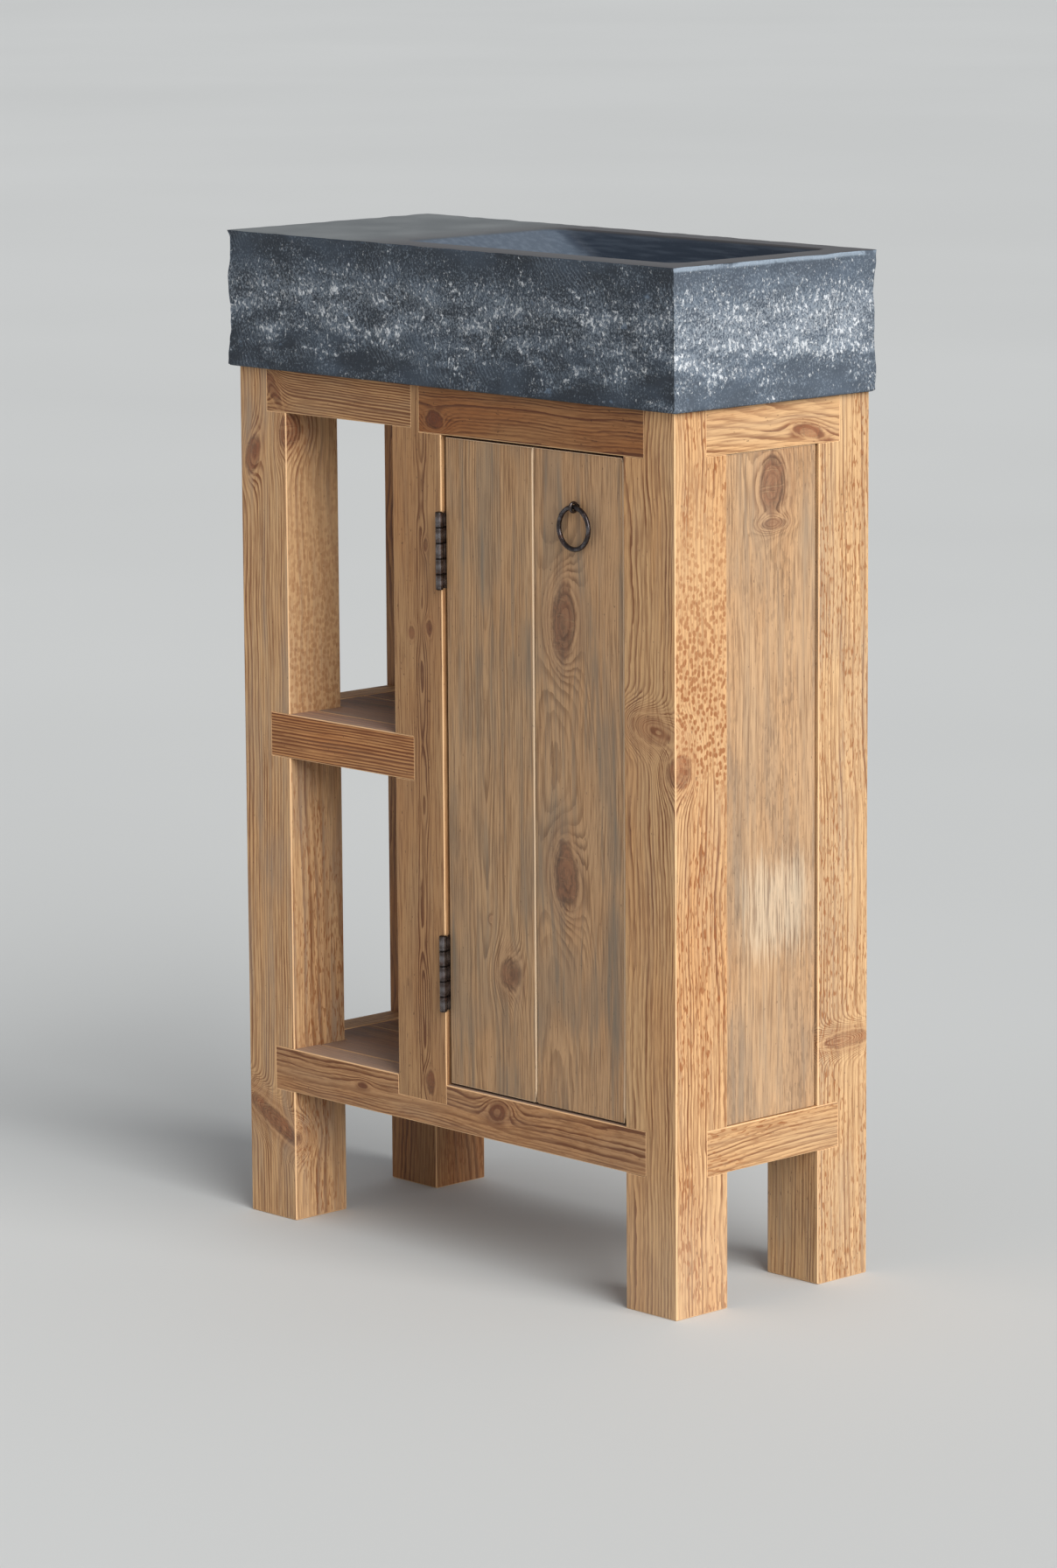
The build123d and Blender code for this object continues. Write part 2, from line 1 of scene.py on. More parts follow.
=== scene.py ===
"""The looks of a bathroom vanity cabinet: reclaimed pine under a rough-hewn stone basin.

Everything stands in the cabinet's own frame, in metres: the door faces -Y, the panelled side +X and up is +Z.
Timber and stone finishes think in millimetres, because that is how rings, knots and chips are measured.
"""

import json
import math
from typing import NamedTuple

import bmesh
import bpy
from mathutils import Matrix, Vector, noise
from mathutils.bvhtree import BVHTree


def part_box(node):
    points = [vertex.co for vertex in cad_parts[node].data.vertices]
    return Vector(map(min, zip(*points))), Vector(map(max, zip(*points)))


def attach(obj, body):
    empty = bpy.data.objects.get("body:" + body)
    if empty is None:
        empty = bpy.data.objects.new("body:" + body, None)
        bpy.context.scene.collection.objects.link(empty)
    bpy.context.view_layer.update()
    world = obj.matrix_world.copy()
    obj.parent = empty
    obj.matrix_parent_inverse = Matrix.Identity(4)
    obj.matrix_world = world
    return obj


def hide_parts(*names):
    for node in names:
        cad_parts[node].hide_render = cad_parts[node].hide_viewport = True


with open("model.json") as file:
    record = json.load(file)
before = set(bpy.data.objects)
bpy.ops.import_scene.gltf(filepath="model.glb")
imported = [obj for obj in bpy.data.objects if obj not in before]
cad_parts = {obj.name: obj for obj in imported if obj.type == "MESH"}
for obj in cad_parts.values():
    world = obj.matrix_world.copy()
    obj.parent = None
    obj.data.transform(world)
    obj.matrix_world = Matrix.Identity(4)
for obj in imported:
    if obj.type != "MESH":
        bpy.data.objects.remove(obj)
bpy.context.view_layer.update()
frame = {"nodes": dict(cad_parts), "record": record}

MM = 0.001
AXIS_NUMBER = {"x": 0, "y": 1, "z": 2}

SLOT_OF = {part["node"]: part["material_slot"] for part in frame["record"]["subparts"]}
BODY_OF = {node: body for body, nodes in frame["record"]["behaviour"]["bodies"].items() for node in nodes}
TIMBER_SLOTS = ("frame_pine", "shelf_pine", "weathered_boards")
TIMBER_NODES = sorted(node for node, slot in SLOT_OF.items() if slot in TIMBER_SLOTS)


# ---------------------------------------------------------------- finishes: how a material is put together


def paint(red, green, blue):
    """A paint-card colour, 0 to 255, as the linear colour that a shader takes."""
    return (*(((c / 255 + 0.055) / 1.055) ** 2.4 if c > 10 else c / 3294.6 for c in (red, green, blue)), 1.0)


class Wire:
    """One output of a shader node. Arithmetic on it adds Math nodes."""

    def __init__(self, finish, socket):
        self.finish = finish
        self.socket = socket

    def out(self, name):
        """Another output of the same node."""
        return Wire(self.finish, self.socket.node.outputs[name])

    def __add__(self, other):
        return self.finish.maths("ADD", self, other)

    __radd__ = __add__

    def __mul__(self, other):
        return self.finish.maths("MULTIPLY", self, other)

    __rmul__ = __mul__

    def __sub__(self, other):
        return self.finish.maths("SUBTRACT", self, other)

    def __rsub__(self, other):
        return self.finish.maths("SUBTRACT", other, self)

    def __truediv__(self, other):
        return self.finish.maths("DIVIDE", self, other)

    def __abs__(self):
        return self.finish.maths("ABSOLUTE", self)


class Finish:
    """A material being made. Every node comes from node(); arithmetic on wires gets there through maths()."""

    def __init__(self, name):
        self.material = bpy.data.materials.new(name)
        self.material.use_nodes = True
        self.tree = self.material.node_tree
        self.tree.nodes.clear()
        self.place = self.node("ShaderNodeTexCoord", out="Object")

    def node(self, kind, settings=None, inputs=None, out=0):
        """Any other node: its settings come first, then the values or links of its sockets."""
        made = self.tree.nodes.new(kind)
        for name, value in (settings or {}).items():
            setattr(made, name, value)
        for name, value in (inputs or {}).items():
            if isinstance(value, Wire):
                self.tree.links.new(value.socket, made.inputs[name])
            else:
                made.inputs[name].default_value = value
        return Wire(self, made.outputs[out]) if made.outputs else None

    def maths(self, operation, *values):
        return self.node("ShaderNodeMath", {"operation": operation}, dict(enumerate(values)))

    def vector(self, operation, *values, out=0):
        return self.node("ShaderNodeVectorMath", {"operation": operation}, dict(enumerate(values)), out)

    def scaled(self, vector, factor):
        return self.node("ShaderNodeVectorMath", {"operation": "SCALE"}, {0: vector, 3: factor})

    def part(self, vector, axis):
        """One part of a vector: X, Y or Z."""
        return self.node("ShaderNodeSeparateXYZ", {}, {0: vector}, axis)

    def rise(self, value, low, high):
        """0 below low, 1 above high and a smooth rise between."""
        return self.node(
            "ShaderNodeMapRange",
            {"interpolation_type": "SMOOTHSTEP"},
            {"Value": value, "From Min": low, "From Max": high},
        )

    def fall(self, value, low, high):
        """1 below low, 0 above high and a smooth fall between."""
        return 1 - self.rise(value, low, high)

    def cloud(self, at, size, detail=1.0, seed=0.0, roughness=0.5):
        """Soft noise from 0 to 1 whose lumps are about size millimetres long, wide and deep."""
        stretched = self.node(
            "ShaderNodeMapping",
            {},
            {
                "Vector": at,
                "Location": (seed, seed * 1.7, seed * 2.3),
                "Scale": tuple(1 / s for s in size),
            },
        )
        inputs = {"Vector": stretched, "Scale": 1.0, "Detail": detail, "Roughness": roughness}
        return self.node("ShaderNodeTexNoise", {}, inputs)

    def line_noise(self, along, size, seed=0.0, out=0):
        """Soft noise that varies only with one value."""
        return self.node(
            "ShaderNodeTexNoise",
            {"noise_dimensions": "1D"},
            {"W": along / size + seed, "Scale": 1.0, "Detail": 1.0},
            out,
        )

    def mix(self, share, first, second, blend="MIX"):
        """first where share is 0 and second where it is 1."""
        settings = {"data_type": "RGBA", "blend_type": blend}
        return self.node("ShaderNodeMix", settings, {0: share, 6: first, 7: second}, out=2)

    def bump(self, height_mm):
        """A surface normal for a height in millimetres."""
        return self.node("ShaderNodeBump", {}, {"Height": height_mm, "Distance": MM, "Strength": 1.0})

    def finished(self, colour, roughness, normal=None, **uniform):
        """Closes the material with one principled surface."""
        sockets = {"Base Color": colour, "Roughness": roughness}
        if normal is not None:
            sockets["Normal"] = normal
        sockets.update({name.replace("_", " "): value for name, value in uniform.items()})
        surface = self.node("ShaderNodeBsdfPrincipled", {}, sockets)
        self.node("ShaderNodeOutputMaterial", {}, {"Surface": surface})
        return self.material


# ---------------------------------------------------------------- how each piece of timber was sawn


def even(share):
    """A shade that darkens red, green and blue alike."""
    return (share, share, share)


class Knot(NamedTuple):
    """A branch that crossed the board: its place from the low end and the middle line, and its size."""

    up: float
    aside: float
    deep: float
    long: float
    wide: float
    through: float = 18.0
    turn: float = 0.0
    dark: float = 0.75


class Cut(NamedTuple):
    """How a piece lay in its log and how it has aged, in millimetres and shares.

    axes are the piece's width, thickness and grain, such as "xyz", and heart is where the log's middle was.
    quiet is how far from the heart the rings fade out. speckled is the lowest and highest place of the
    speckles and their strength. scrubbed is a patch's height, its place across, half its length and half
    its width.
    """

    axes: str
    heart: tuple
    lean: tuple = (0.012, 0.006)
    ring: float = 2.3
    figure: float = 1.0
    knots: tuple = ()
    flecks: float = 0.3
    grey: float = 0.2
    contrast: float = 1.0
    warmth: float = 0.5
    shade: tuple = even(0.85)
    arris: float = 2.2
    quiet: float = 0.0
    speckled: tuple = ()
    scrubbed: tuple = ()
    painted_floor_bounce: float = 0.0


UPRIGHT, UPRIGHT_SIDE, LEVEL, LEVEL_SIDE = "xyz", "yxz", "zyx", "zxy"
FLAT_BOARD, FLAT_BEARER = "yzx", "xzy"

CUTS = {
    "post_front_left": Cut(
        UPRIGHT,
        heart=(-96, 40),
        ring=3.0,
        figure=0.6,
        contrast=1.15,
        grey=0.6,
        warmth=0.25,
        flecks=0.8,
        shade=(0.88, 0.88, 0.9),
        speckled=(450, 700, 0.5),
        knots=(
            Knot(700, -14, -31, 20, 9, through=26, turn=0.25, dark=0.62),
            Knot(724, 31, -31, 17, 9, through=20, turn=0.3, dark=0.58),
            Knot(90, 4, -31, 9, 44, through=12, turn=0.5, dark=0.62),
        ),
    ),
    "post_front_right": Cut(
        UPRIGHT,
        heart=(-66, 62),
        ring=2.6,
        contrast=1.2,
        flecks=1.0,
        shade=even(0.88),
        speckled=(470, 715, 1.0),
        painted_floor_bounce=0.2,
        knots=(
            Knot(508, 4, -31, 12, 24, through=16, turn=0.15, dark=0.27),
            Knot(474, 30, -24, 15, 12, through=13, dark=0.47),
        ),
    ),
    "post_back_left": Cut(
        UPRIGHT,
        heart=(-70, 60),
        ring=2.8,
        warmth=0.9,
        flecks=0.6,
        shade=(0.54, 0.46, 0.4),
    ),
    "post_back_right": Cut(
        UPRIGHT,
        heart=(-80, 64),
        ring=2.7,
        figure=0.5,
        flecks=0.9,
        grey=0.35,
        warmth=0.15,
        shade=(0.88, 0.92, 0.96),
        knots=(Knot(214, 31, 6, 7, 30, through=30, turn=0.1, dark=0.34),),
    ),
    "middle_stile": Cut(
        UPRIGHT,
        heart=(3, -18.5),
        lean=(0.006, -0.001),
        ring=2.9,
        figure=0.62,
        quiet=7.0,
        flecks=0.1,
        shade=(0.6, 0.56, 0.53),
        contrast=1.9,
        knots=(
            Knot(497, 11, -15, 6, 3.4, through=9, dark=0.55),
            Knot(418, -8, -15, 6, 4, through=9, dark=0.55),
            Knot(424, 15, -15, 7, 4.4, through=9, dark=0.7),
            Knot(17, 11, -15, 11, 6, through=12, dark=0.7),
        ),
    ),
    "front_top_rail_left": Cut(
        LEVEL,
        heart=(120, 46),
        lean=(-0.03, 0.01),
        ring=2.3,
        contrast=3.6,
        figure=0.45,
        shade=(0.7, 0.66, 0.62),
        knots=(Knot(7, 3, -15, 21, 7, through=18, turn=-0.94, dark=0.55),),
    ),
    "front_top_rail_right": Cut(
        LEVEL,
        heart=(-60, 30),
        ring=2.6,
        contrast=1.5,
        warmth=1.0,
        shade=(0.47, 0.37, 0.29),
        knots=(Knot(20, -9, -15, 11, 8, through=14, dark=0.78),),
    ),
    "front_bottom_rail": Cut(
        LEVEL,
        heart=(40, 13),
        lean=(-0.03, 0.02),
        ring=3.0,
        contrast=1.3,
        figure=1.0,
        shade=(0.68, 0.64, 0.64),
        knots=(
            Knot(296, 8, -15, 13, 9, through=16, turn=0.4, dark=0.42),
            Knot(118, 2, -15, 7, 3, through=12, dark=0.5),
        ),
    ),
    "shelf_front_rail": Cut(
        LEVEL,
        heart=(-110, 40),
        ring=2.5,
        contrast=3.4,
        warmth=0.9,
        figure=0.3,
        shade=(0.74, 0.6, 0.48),
    ),
    "back_top_rail": Cut(LEVEL, heart=(50, 16), ring=2.6, shade=even(0.7)),
    "back_middle_rail": Cut(
        LEVEL,
        heart=(-40, 10),
        ring=2.8,
        shade=even(0.7),
        knots=(Knot(150, 4, 15, 14, 9, through=14),),
    ),
    "back_bottom_rail": Cut(
        LEVEL,
        heart=(34, 20),
        ring=3.0,
        shade=even(0.75),
        knots=(Knot(330, -6, 15, 12, 8, through=14),),
    ),
    "left_top_rail": Cut(LEVEL_SIDE, heart=(44, -12), ring=2.6, shade=even(0.7)),
    "left_middle_rail": Cut(LEVEL_SIDE, heart=(-52, -18), ring=2.4, shade=even(0.75)),
    "left_bottom_rail": Cut(
        LEVEL_SIDE,
        heart=(36, 16),
        ring=3.0,
        shade=even(0.75),
        knots=(Knot(96, 5, -15, 12, 8, through=14),),
    ),
    "right_top_rail": Cut(
        LEVEL_SIDE,
        heart=(32, -18),
        lean=(-0.07, 0.03),
        ring=4.6,
        figure=1.2,
        contrast=1.25,
        shade=even(0.88),
        knots=(Knot(124, -8, 15, 19, 6, through=16, turn=-0.25, dark=0.55),),
    ),
    "right_bottom_rail": Cut(
        LEVEL_SIDE,
        heart=(30, -22),
        lean=(0.05, 0.02),
        ring=2.8,
        figure=0.8,
        flecks=1.0,
        shade=even(0.82),
    ),
    "top_bearer": Cut(FLAT_BEARER, heart=(60, 20), ring=3.0),
    "shelf_cleat_left": Cut(LEVEL_SIDE, heart=(40, 12), ring=2.6),
    "shelf_cleat_right": Cut(LEVEL_SIDE, heart=(-40, 12), ring=2.6),
    "bottom_cleat_front": Cut(LEVEL, heart=(40, 12), ring=2.6),
    "bottom_cleat_back": Cut(LEVEL, heart=(-40, 12), ring=2.6),
    "shelf_board_front": Cut(FLAT_BOARD, heart=(10, -70), ring=3.0, grey=0.9, shade=(0.62, 0.55, 0.48)),
    "shelf_board_back": Cut(FLAT_BOARD, heart=(-14, -60), ring=2.8, grey=0.9, shade=(0.62, 0.55, 0.48)),
    "bottom_board_front": Cut(
        FLAT_BOARD,
        heart=(12, -55),
        ring=3.0,
        grey=0.9,
        shade=(0.64, 0.58, 0.52),
        knots=(Knot(390, 10, 10, 17, 10, through=30),),
    ),
    "bottom_board_back": Cut(
        FLAT_BOARD,
        heart=(-8, -65),
        ring=3.0,
        grey=0.9,
        shade=(0.64, 0.58, 0.52),
        knots=(Knot(80, 0, 10, 14, 9, through=30),),
    ),
    "divider_panel": Cut(
        UPRIGHT_SIDE,
        heart=(20, -80),
        ring=3.2,
        grey=0.35,
        knots=(Knot(420, -30, 0, 19, 10, through=30),),
    ),
    "side_panel": Cut(
        UPRIGHT_SIDE,
        heart=(14, -60),
        lean=(0.006, 0.008),
        ring=3.6,
        contrast=0.34,
        grey=0.5,
        flecks=0.4,
        shade=even(0.78),
        arris=1.0,
        scrubbed=(191, 6, 42, 46),
        knots=(Knot(556, 2, 9, 27, 16, through=40, dark=0.62), Knot(522, 2, 9, 5, 12, through=40, dark=0.39)),
    ),
    "door_plank_left": Cut(
        UPRIGHT,
        heart=(-6, -26),
        lean=(0.004, 0.026),
        ring=3.0,
        figure=0.7,
        contrast=0.72,
        grey=0.7,
        flecks=0.1,
        shade=(0.76, 0.75, 0.73),
        arris=1.3,
        knots=(
            Knot(110, 24, -11, 16, 13, through=30, dark=0.55),
            Knot(155, -1, -11, 3, 2, through=6, dark=0.16),
        ),
    ),
    "door_plank_right": Cut(
        UPRIGHT,
        heart=(-26, 40),
        lean=(0.002, 0.012),
        ring=2.6,
        figure=0.9,
        contrast=0.6,
        grey=0.75,
        flecks=0.15,
        shade=(0.78, 0.76, 0.74),
        arris=1.3,
        knots=(
            Knot(426, -15, -11, 33, 15, through=30, turn=0.05, dark=0.66),
            Knot(206, -13, -11, 30, 15, through=30, turn=-0.08, dark=0.7),
        ),
    ),
    "door_batten_top": Cut(LEVEL, heart=(40, 12), ring=3.0),
    "door_batten_bottom": Cut(LEVEL, heart=(-36, 12), ring=3.0),
}


class Stock(NamedTuple):
    """The colours of one pile of boards."""

    early: tuple
    late: tuple
    honey: tuple
    grey: tuple
    fleck: tuple
    knot: tuple
    heart: tuple
    # worn_and_highlit: the pale of arrises eased by use, made brighter still as a painted highlight.
    worn_and_highlit: tuple


STOCKS = {
    "frame_pine": Stock(
        early=paint(222, 178, 128),
        late=paint(134, 84, 48),
        honey=paint(212, 150, 92),
        grey=paint(164, 142, 120),
        fleck=paint(150, 88, 42),
        knot=paint(84, 54, 40),
        heart=paint(156, 96, 62),
        worn_and_highlit=paint(244, 200, 150),
    ),
    "shelf_pine": Stock(
        early=paint(182, 142, 104),
        late=paint(128, 88, 58),
        honey=paint(164, 112, 70),
        grey=paint(140, 124, 110),
        fleck=paint(118, 74, 44),
        knot=paint(80, 54, 38),
        heart=paint(120, 72, 46),
        worn_and_highlit=paint(196, 158, 120),
    ),
    "weathered_boards": Stock(
        early=paint(214, 174, 132),
        late=paint(124, 88, 58),
        honey=paint(206, 154, 104),
        grey=paint(146, 130, 112),
        fleck=paint(112, 88, 66),
        knot=paint(80, 60, 50),
        heart=paint(152, 104, 76),
        worn_and_highlit=paint(255, 226, 190),
    ),
}


FAR_FROM_KNOTS = 9.0
BEND_FADE, BEND_SHARE, SWELL_SHARE = -0.42, 0.62, 1.5
SPECKLES_PER_MM = (1 / 4.2, 1 / 4.2, 1 / 5.4)


class Board(Finish):
    """The pine of one piece: year rings about the heart of its log, cut through by the piece's own faces."""

    def __init__(self, node, seed):
        super().__init__(f"{node}_pine")
        self.cut = CUTS[node]
        self.stock = STOCKS[SLOT_OF[node]]
        self.seed = seed
        low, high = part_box(node)
        across, thick, grain = (AXIS_NUMBER[a] for a in self.cut.axes)
        middle = (
            (low[across] + high[across]) / 2 / MM,
            (low[thick] + high[thick]) / 2 / MM,
            low[grain] / MM,
        )
        self.spot = self.vector("SUBTRACT", self.scaled(self.own_axes(self.place), 1 / MM), middle)
        self.facing = self.own_axes(self.place.out("Normal"))
        self.ragged = self.over((4.5, 4.5, 8), 0, detail=3.0, roughness=0.65)
        self.lumpy = self.over((13, 13, 18), 2, detail=2.0)

    def own_axes(self, vector):
        """A vector turned to the piece's width, thickness and grain."""
        parts = self.node("ShaderNodeSeparateXYZ", {}, {0: vector})
        turned = {i: parts.out(axis.upper()) for i, axis in enumerate(self.cut.axes)}
        return self.node("ShaderNodeCombineXYZ", {}, turned)

    def over(self, size, pattern, **settings):
        """Soft noise over this piece, with a pattern of its own for each number."""
        return self.cloud(self.spot, size, seed=self.seed + pattern, **settings)

    def bend_round_knots(self):
        """Leads the grain round every knot, and finds each knot's edge and its own dark wood."""
        self.swell, self.crowded, self.dark, self.edge = 0.0, 0.0, 0.0, FAR_FROM_KNOTS
        for knot in self.cut.knots:
            centre = (knot.aside, knot.deep, knot.up)
            branch = self.node(
                "ShaderNodeMapping",
                {"vector_type": "TEXTURE"},
                {
                    "Vector": self.spot,
                    "Location": centre,
                    "Rotation": (0, knot.turn, 0),
                    "Scale": (knot.wide, knot.through, knot.long),
                },
            )
            squared = self.vector("DOT_PRODUCT", branch, branch, out="Value")
            near = self.maths("EXPONENT", squared * BEND_FADE)
            away = self.vector("MULTIPLY", self.vector("SUBTRACT", self.spot, centre), (1, 0.4, 0))
            self.spot = self.vector("SUBTRACT", self.spot, self.scaled(away, near * BEND_SHARE))
            self.swell = near * (SWELL_SHARE * knot.wide) + self.swell
            self.crowded = self.maths("MAXIMUM", near, self.crowded)
            reach = self.maths("SQRT", squared) + (self.lumpy - 0.5) * 0.55 + (self.ragged - 0.5) * 0.5
            self.edge = self.maths("MINIMUM", reach, self.edge)
            self.dark = self.maths("MAXIMUM", self.fall(reach, 0.74, 1.1) * knot.dark, self.dark)

    def count_years(self):
        """Finds the way from the heart of the log and how late in its year the wood grew."""
        cut = self.cut
        self.aside = self.part(self.spot, "X")
        self.along = self.aside.out("Z")
        wander = self.vector("SUBTRACT", self.line_noise(self.along, 130, self.seed, out=1), even(0.5))
        drift = self.vector("MULTIPLY", wander, (7 * cut.figure, 9 * cut.figure, 0))
        lean = self.scaled((*cut.lean, 0), self.along)
        if cut.quiet:
            flame = (self.line_noise(self.along, 74, self.seed + 9) - 0.5) * 10
            drift = self.vector("ADD", drift, self.node("ShaderNodeCombineXYZ", {}, {"Y": flame}))
        from_heart = self.vector("SUBTRACT", self.spot, (*cut.heart, 0))
        from_heart = self.vector("SUBTRACT", from_heart, self.vector("ADD", drift, lean))
        self.from_heart = self.vector("MULTIPLY", from_heart, (1, 1, 0))
        sway = (self.over((26, 26, 210), 3, detail=2.0) - 0.5) * (3.2 * cut.figure)
        ripple = (self.over((3.2, 3.2, 16), 5) - 0.5) * (1.5 * min(1.0, cut.figure))
        radius = self.vector("LENGTH", self.from_heart, out="Value") + sway + ripple + self.swell
        years = radius / cut.ring + (self.line_noise(radius, 17, self.seed + 7) - 0.5) * 2.2
        season = self.maths("FRACT", years)
        year = self.maths("FLOOR", years)
        vigour = self.node("ShaderNodeTexWhiteNoise", {"noise_dimensions": "1D"}, {"W": year + self.seed})
        late = self.rise(season, 0.3, 0.85) * self.fall(season, 0.92, 1.0) * (vigour * 0.7 + 0.35)
        late = late * (self.rise(self.over((10, 10, 120), 43, detail=2.0), 0.36, 0.62) * 0.6 + 0.42)
        if cut.quiet:
            late = late * (self.fall(radius, cut.quiet, cut.quiet * 1.6) * 0.86 + 0.14)
        self.late = late

    def weather_it(self):
        """Finds the fibres, the patches, the flecks of open grain, the grey and the specks of dirt."""
        cut = self.cut
        self.fibre = self.over((1.5, 1.5, 46), 11, detail=3.0, roughness=0.7)
        self.patch = self.over((34, 34, 150), 13, detail=2.0)
        outward = self.vector("NORMALIZE", self.from_heart)
        flat_sawn = abs(self.vector("DOT_PRODUCT", outward, self.facing, out="Value"))
        dash = self.rise(self.over((1.9, 1.9, 9), 17), 0.54, 0.64)
        self.side = self.rise(abs(self.part(self.facing, "X")), 0.5, 0.9)
        open_grain = self.side if cut.axes == UPRIGHT else flat_sawn * 0.85 + 0.15
        self.flecked = dash * self.rise(self.patch, 0.36, 0.56) * open_grain * cut.flecks
        self.weather = self.over((8, 8, 160), 19, detail=3.0, roughness=0.6)
        broad = self.over((38, 38, 120), 41, detail=2.0)
        self.greyed = (self.rise(self.weather, 0.46, 0.72) + self.rise(broad, 0.48, 0.66) * 0.7) * cut.grey
        self.speck = self.rise(self.over((1.5, 1.5, 4), 23, detail=0.0), 0.8, 0.86)

    def clear_wood(self):
        """The colour of wood without knots: early and late wood, fibres, grey and flecks."""
        stock = self.stock
        colour = self.mix(self.rise(self.patch, 0.3, 0.75) * self.cut.warmth, stock.early, stock.honey)
        colour = self.mix(self.late * (self.crowded * 0.9 + 0.95 * self.cut.contrast), colour, stock.late)
        colour = self.mix(self.rise(self.fibre, 0.44, 0.68) * 0.64, colour, stock.late)
        colour = self.mix(self.greyed * 0.8, colour, stock.grey)
        return self.mix(self.flecked * 0.85, colour, stock.fleck)

    def speckle(self, colour):
        """Small dark cells on the side faces, denser towards the zone's low end."""
        low_up, high_up, strength = self.cut.speckled
        uneven = self.along + (self.weather - 0.5) * 160
        zone = self.rise(uneven, low_up - 25, low_up + 15) * self.fall(uneven, high_up - 60, high_up + 20)
        zone = zone * self.side
        cell = self.node(
            "ShaderNodeTexVoronoi",
            {"feature": "F1"},
            {"Vector": self.vector("MULTIPLY", self.spot, SPECKLES_PER_MM), "Scale": 1.0, "Randomness": 0.9},
        )
        lot = self.part(cell.out("Color"), "X")
        denser = self.fall(uneven, low_up, high_up)
        chosen = self.rise(lot + denser * 0.6, 0.25, 0.5)
        spots = self.fall(cell + (self.ragged - 0.5) * 0.9, 0.32, 0.58) * chosen
        colour = self.mix(zone * 0.5, colour, self.stock.early)
        return self.mix(zone * spots * ((denser * 0.42 + 0.42) * strength), colour, self.stock.fleck)

    def scrub(self, colour):
        """A patch scrubbed chalky pale, ragged along the fibres."""
        up, aside, long, wide = self.cut.scrubbed
        uneven = (self.fibre - 0.5) * 70 + (self.weather - 0.5) * 40
        lengthways = self.fall(abs(self.along - up) + uneven, long * 0.4, long * 1.3)
        crossways = self.fall(abs(self.aside - aside) + uneven * 0.6, wide * 0.4, wide * 1.2)
        chalk = self.mix(self.rise(self.fibre, 0.46, 0.62) * 0.8, paint(232, 214, 186), paint(134, 122, 110))
        return self.mix(lengthways * crossways * 0.5, colour, chalk)

    def set_knots(self, colour):
        """The knots' own wood, ringed, barked at the edge and finely split, in a pale ring of their own."""
        stock, edge = self.stock, self.edge
        rings = self.maths("SINE", edge * 20 + self.ragged * 10) * 0.24 + 0.36 + (self.lumpy - 0.5) * 1.8
        bark = self.rise(edge, 0.72, 0.95) * 0.6
        wood = self.mix(self.maths("MINIMUM", rings + bark, 1.0), stock.heart, stock.knot)
        self.split = self.rise(self.over((14, 30, 2.4), 29, detail=2.0), 0.6, 0.7)
        wood = self.mix(self.split * 0.25, wood, stock.early)
        colour = self.mix(self.fall(edge, 1.0, 2.1) * 0.25, colour, stock.heart)
        pale_ring = self.rise(edge, 1.0, 1.12) * self.fall(edge, 1.16, 1.4)
        colour = self.mix(pale_ring * 0.35, colour, stock.early)
        return self.mix(self.dark, colour, wood)

    def age(self, colour):
        """Darker end grain, the piece's own shade, dust on what faces up that is paler towards the front as
        painted light, and arrises pale from use and painted highlight.
        """
        end_grain = self.rise(abs(self.part(self.facing, "Z")), 0.6, 0.9)
        colour = self.mix(end_grain * 0.4, colour, self.stock.late)
        colour = self.mix(1.0, colour, (*self.cut.shade, 1.0), "MULTIPLY")
        lying = self.rise(self.part(self.place.out("Normal"), "Z"), 0.8, 0.97)
        # Paler towards the front and darker deeper in: painted light and painted shade laid over the dust on
        # what faces up.
        front_light_share = self.fall(self.part(self.place, "Y") / MM, -110, -5)
        colour = self.mix(lying * front_light_share * (self.weather * 0.4 + 0.45), colour, paint(168, 146, 132))
        turned = self.part(self.vector("ABSOLUTE", self.facing), "X")
        squarest = self.maths("MAXIMUM", turned, self.maths("MAXIMUM", turned.out("Y"), turned.out("Z")))
        # Arrises go pale from use and brighter still as a painted highlight.
        return self.mix(self.fall(squarest, 0.84, 0.985) * 0.85, colour, self.stock.worn_and_highlit)

    def sawn(self):
        """The finished material."""
        cut = self.cut
        self.bend_round_knots()
        self.count_years()
        self.weather_it()
        colour = self.clear_wood()
        if cut.speckled:
            colour = self.speckle(colour)
        if cut.scrubbed:
            colour = self.scrub(colour)
        colour = self.mix(self.speck * 0.5, colour, self.stock.knot)
        relief = self.late * 0.16 + self.fibre * 0.1 - self.flecked * 0.12 - self.speck * 0.3
        if cut.knots:
            colour = self.set_knots(colour)
            relief = relief + self.dark * (self.split * -0.5 + 0.1)
        # Paler towards the foot: painted light, as if bounced up from the pale floor.
        if cut.painted_floor_bounce:
            foot = self.fall(self.along + (self.weather - 0.5) * 120, 40, 150)
            colour = self.mix(foot * cut.painted_floor_bounce, colour, paint(224, 194, 160))
        roughness = 0.66 - self.late * 0.1 + self.greyed * 0.1 - self.dark * 0.08
        return self.finished(self.age(colour), roughness, self.bump(relief), Specular_IOR_Level=0.35)


# ---------------------------------------------------------------- putting pieces in their places


def set_out(name, data):
    """A new object in the scene for a mesh, a lamp or a lens."""
    thing = bpy.data.objects.new(name, data)
    bpy.context.scene.collection.objects.link(thing)
    return thing


def as_mesh(shape, name):
    """A mesh of a shape that is finished with."""
    mesh = bpy.data.meshes.new(name)
    shape.to_mesh(mesh)
    shape.free()
    return mesh


def smoothed(mesh):
    """Shades every face smooth."""
    mesh.polygons.foreach_set("use_smooth", [True] * len(mesh.polygons))


def settled(piece):
    """Applies the modifiers that a piece has so far."""
    bpy.context.view_layer.update()
    seen = piece.evaluated_get(bpy.context.evaluated_depsgraph_get())
    mesh = bpy.data.meshes.new_from_object(seen)
    piece.modifiers.clear()
    piece.data = mesh
    return mesh


def stands_for(piece, node, material):
    """Puts a finished piece in its node's place, on its node's body."""
    piece.data.materials.clear()
    piece.data.materials.append(material)
    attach(piece, BODY_OF[node])
    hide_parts(node)


# ---------------------------------------------------------------- timber with worn arrises

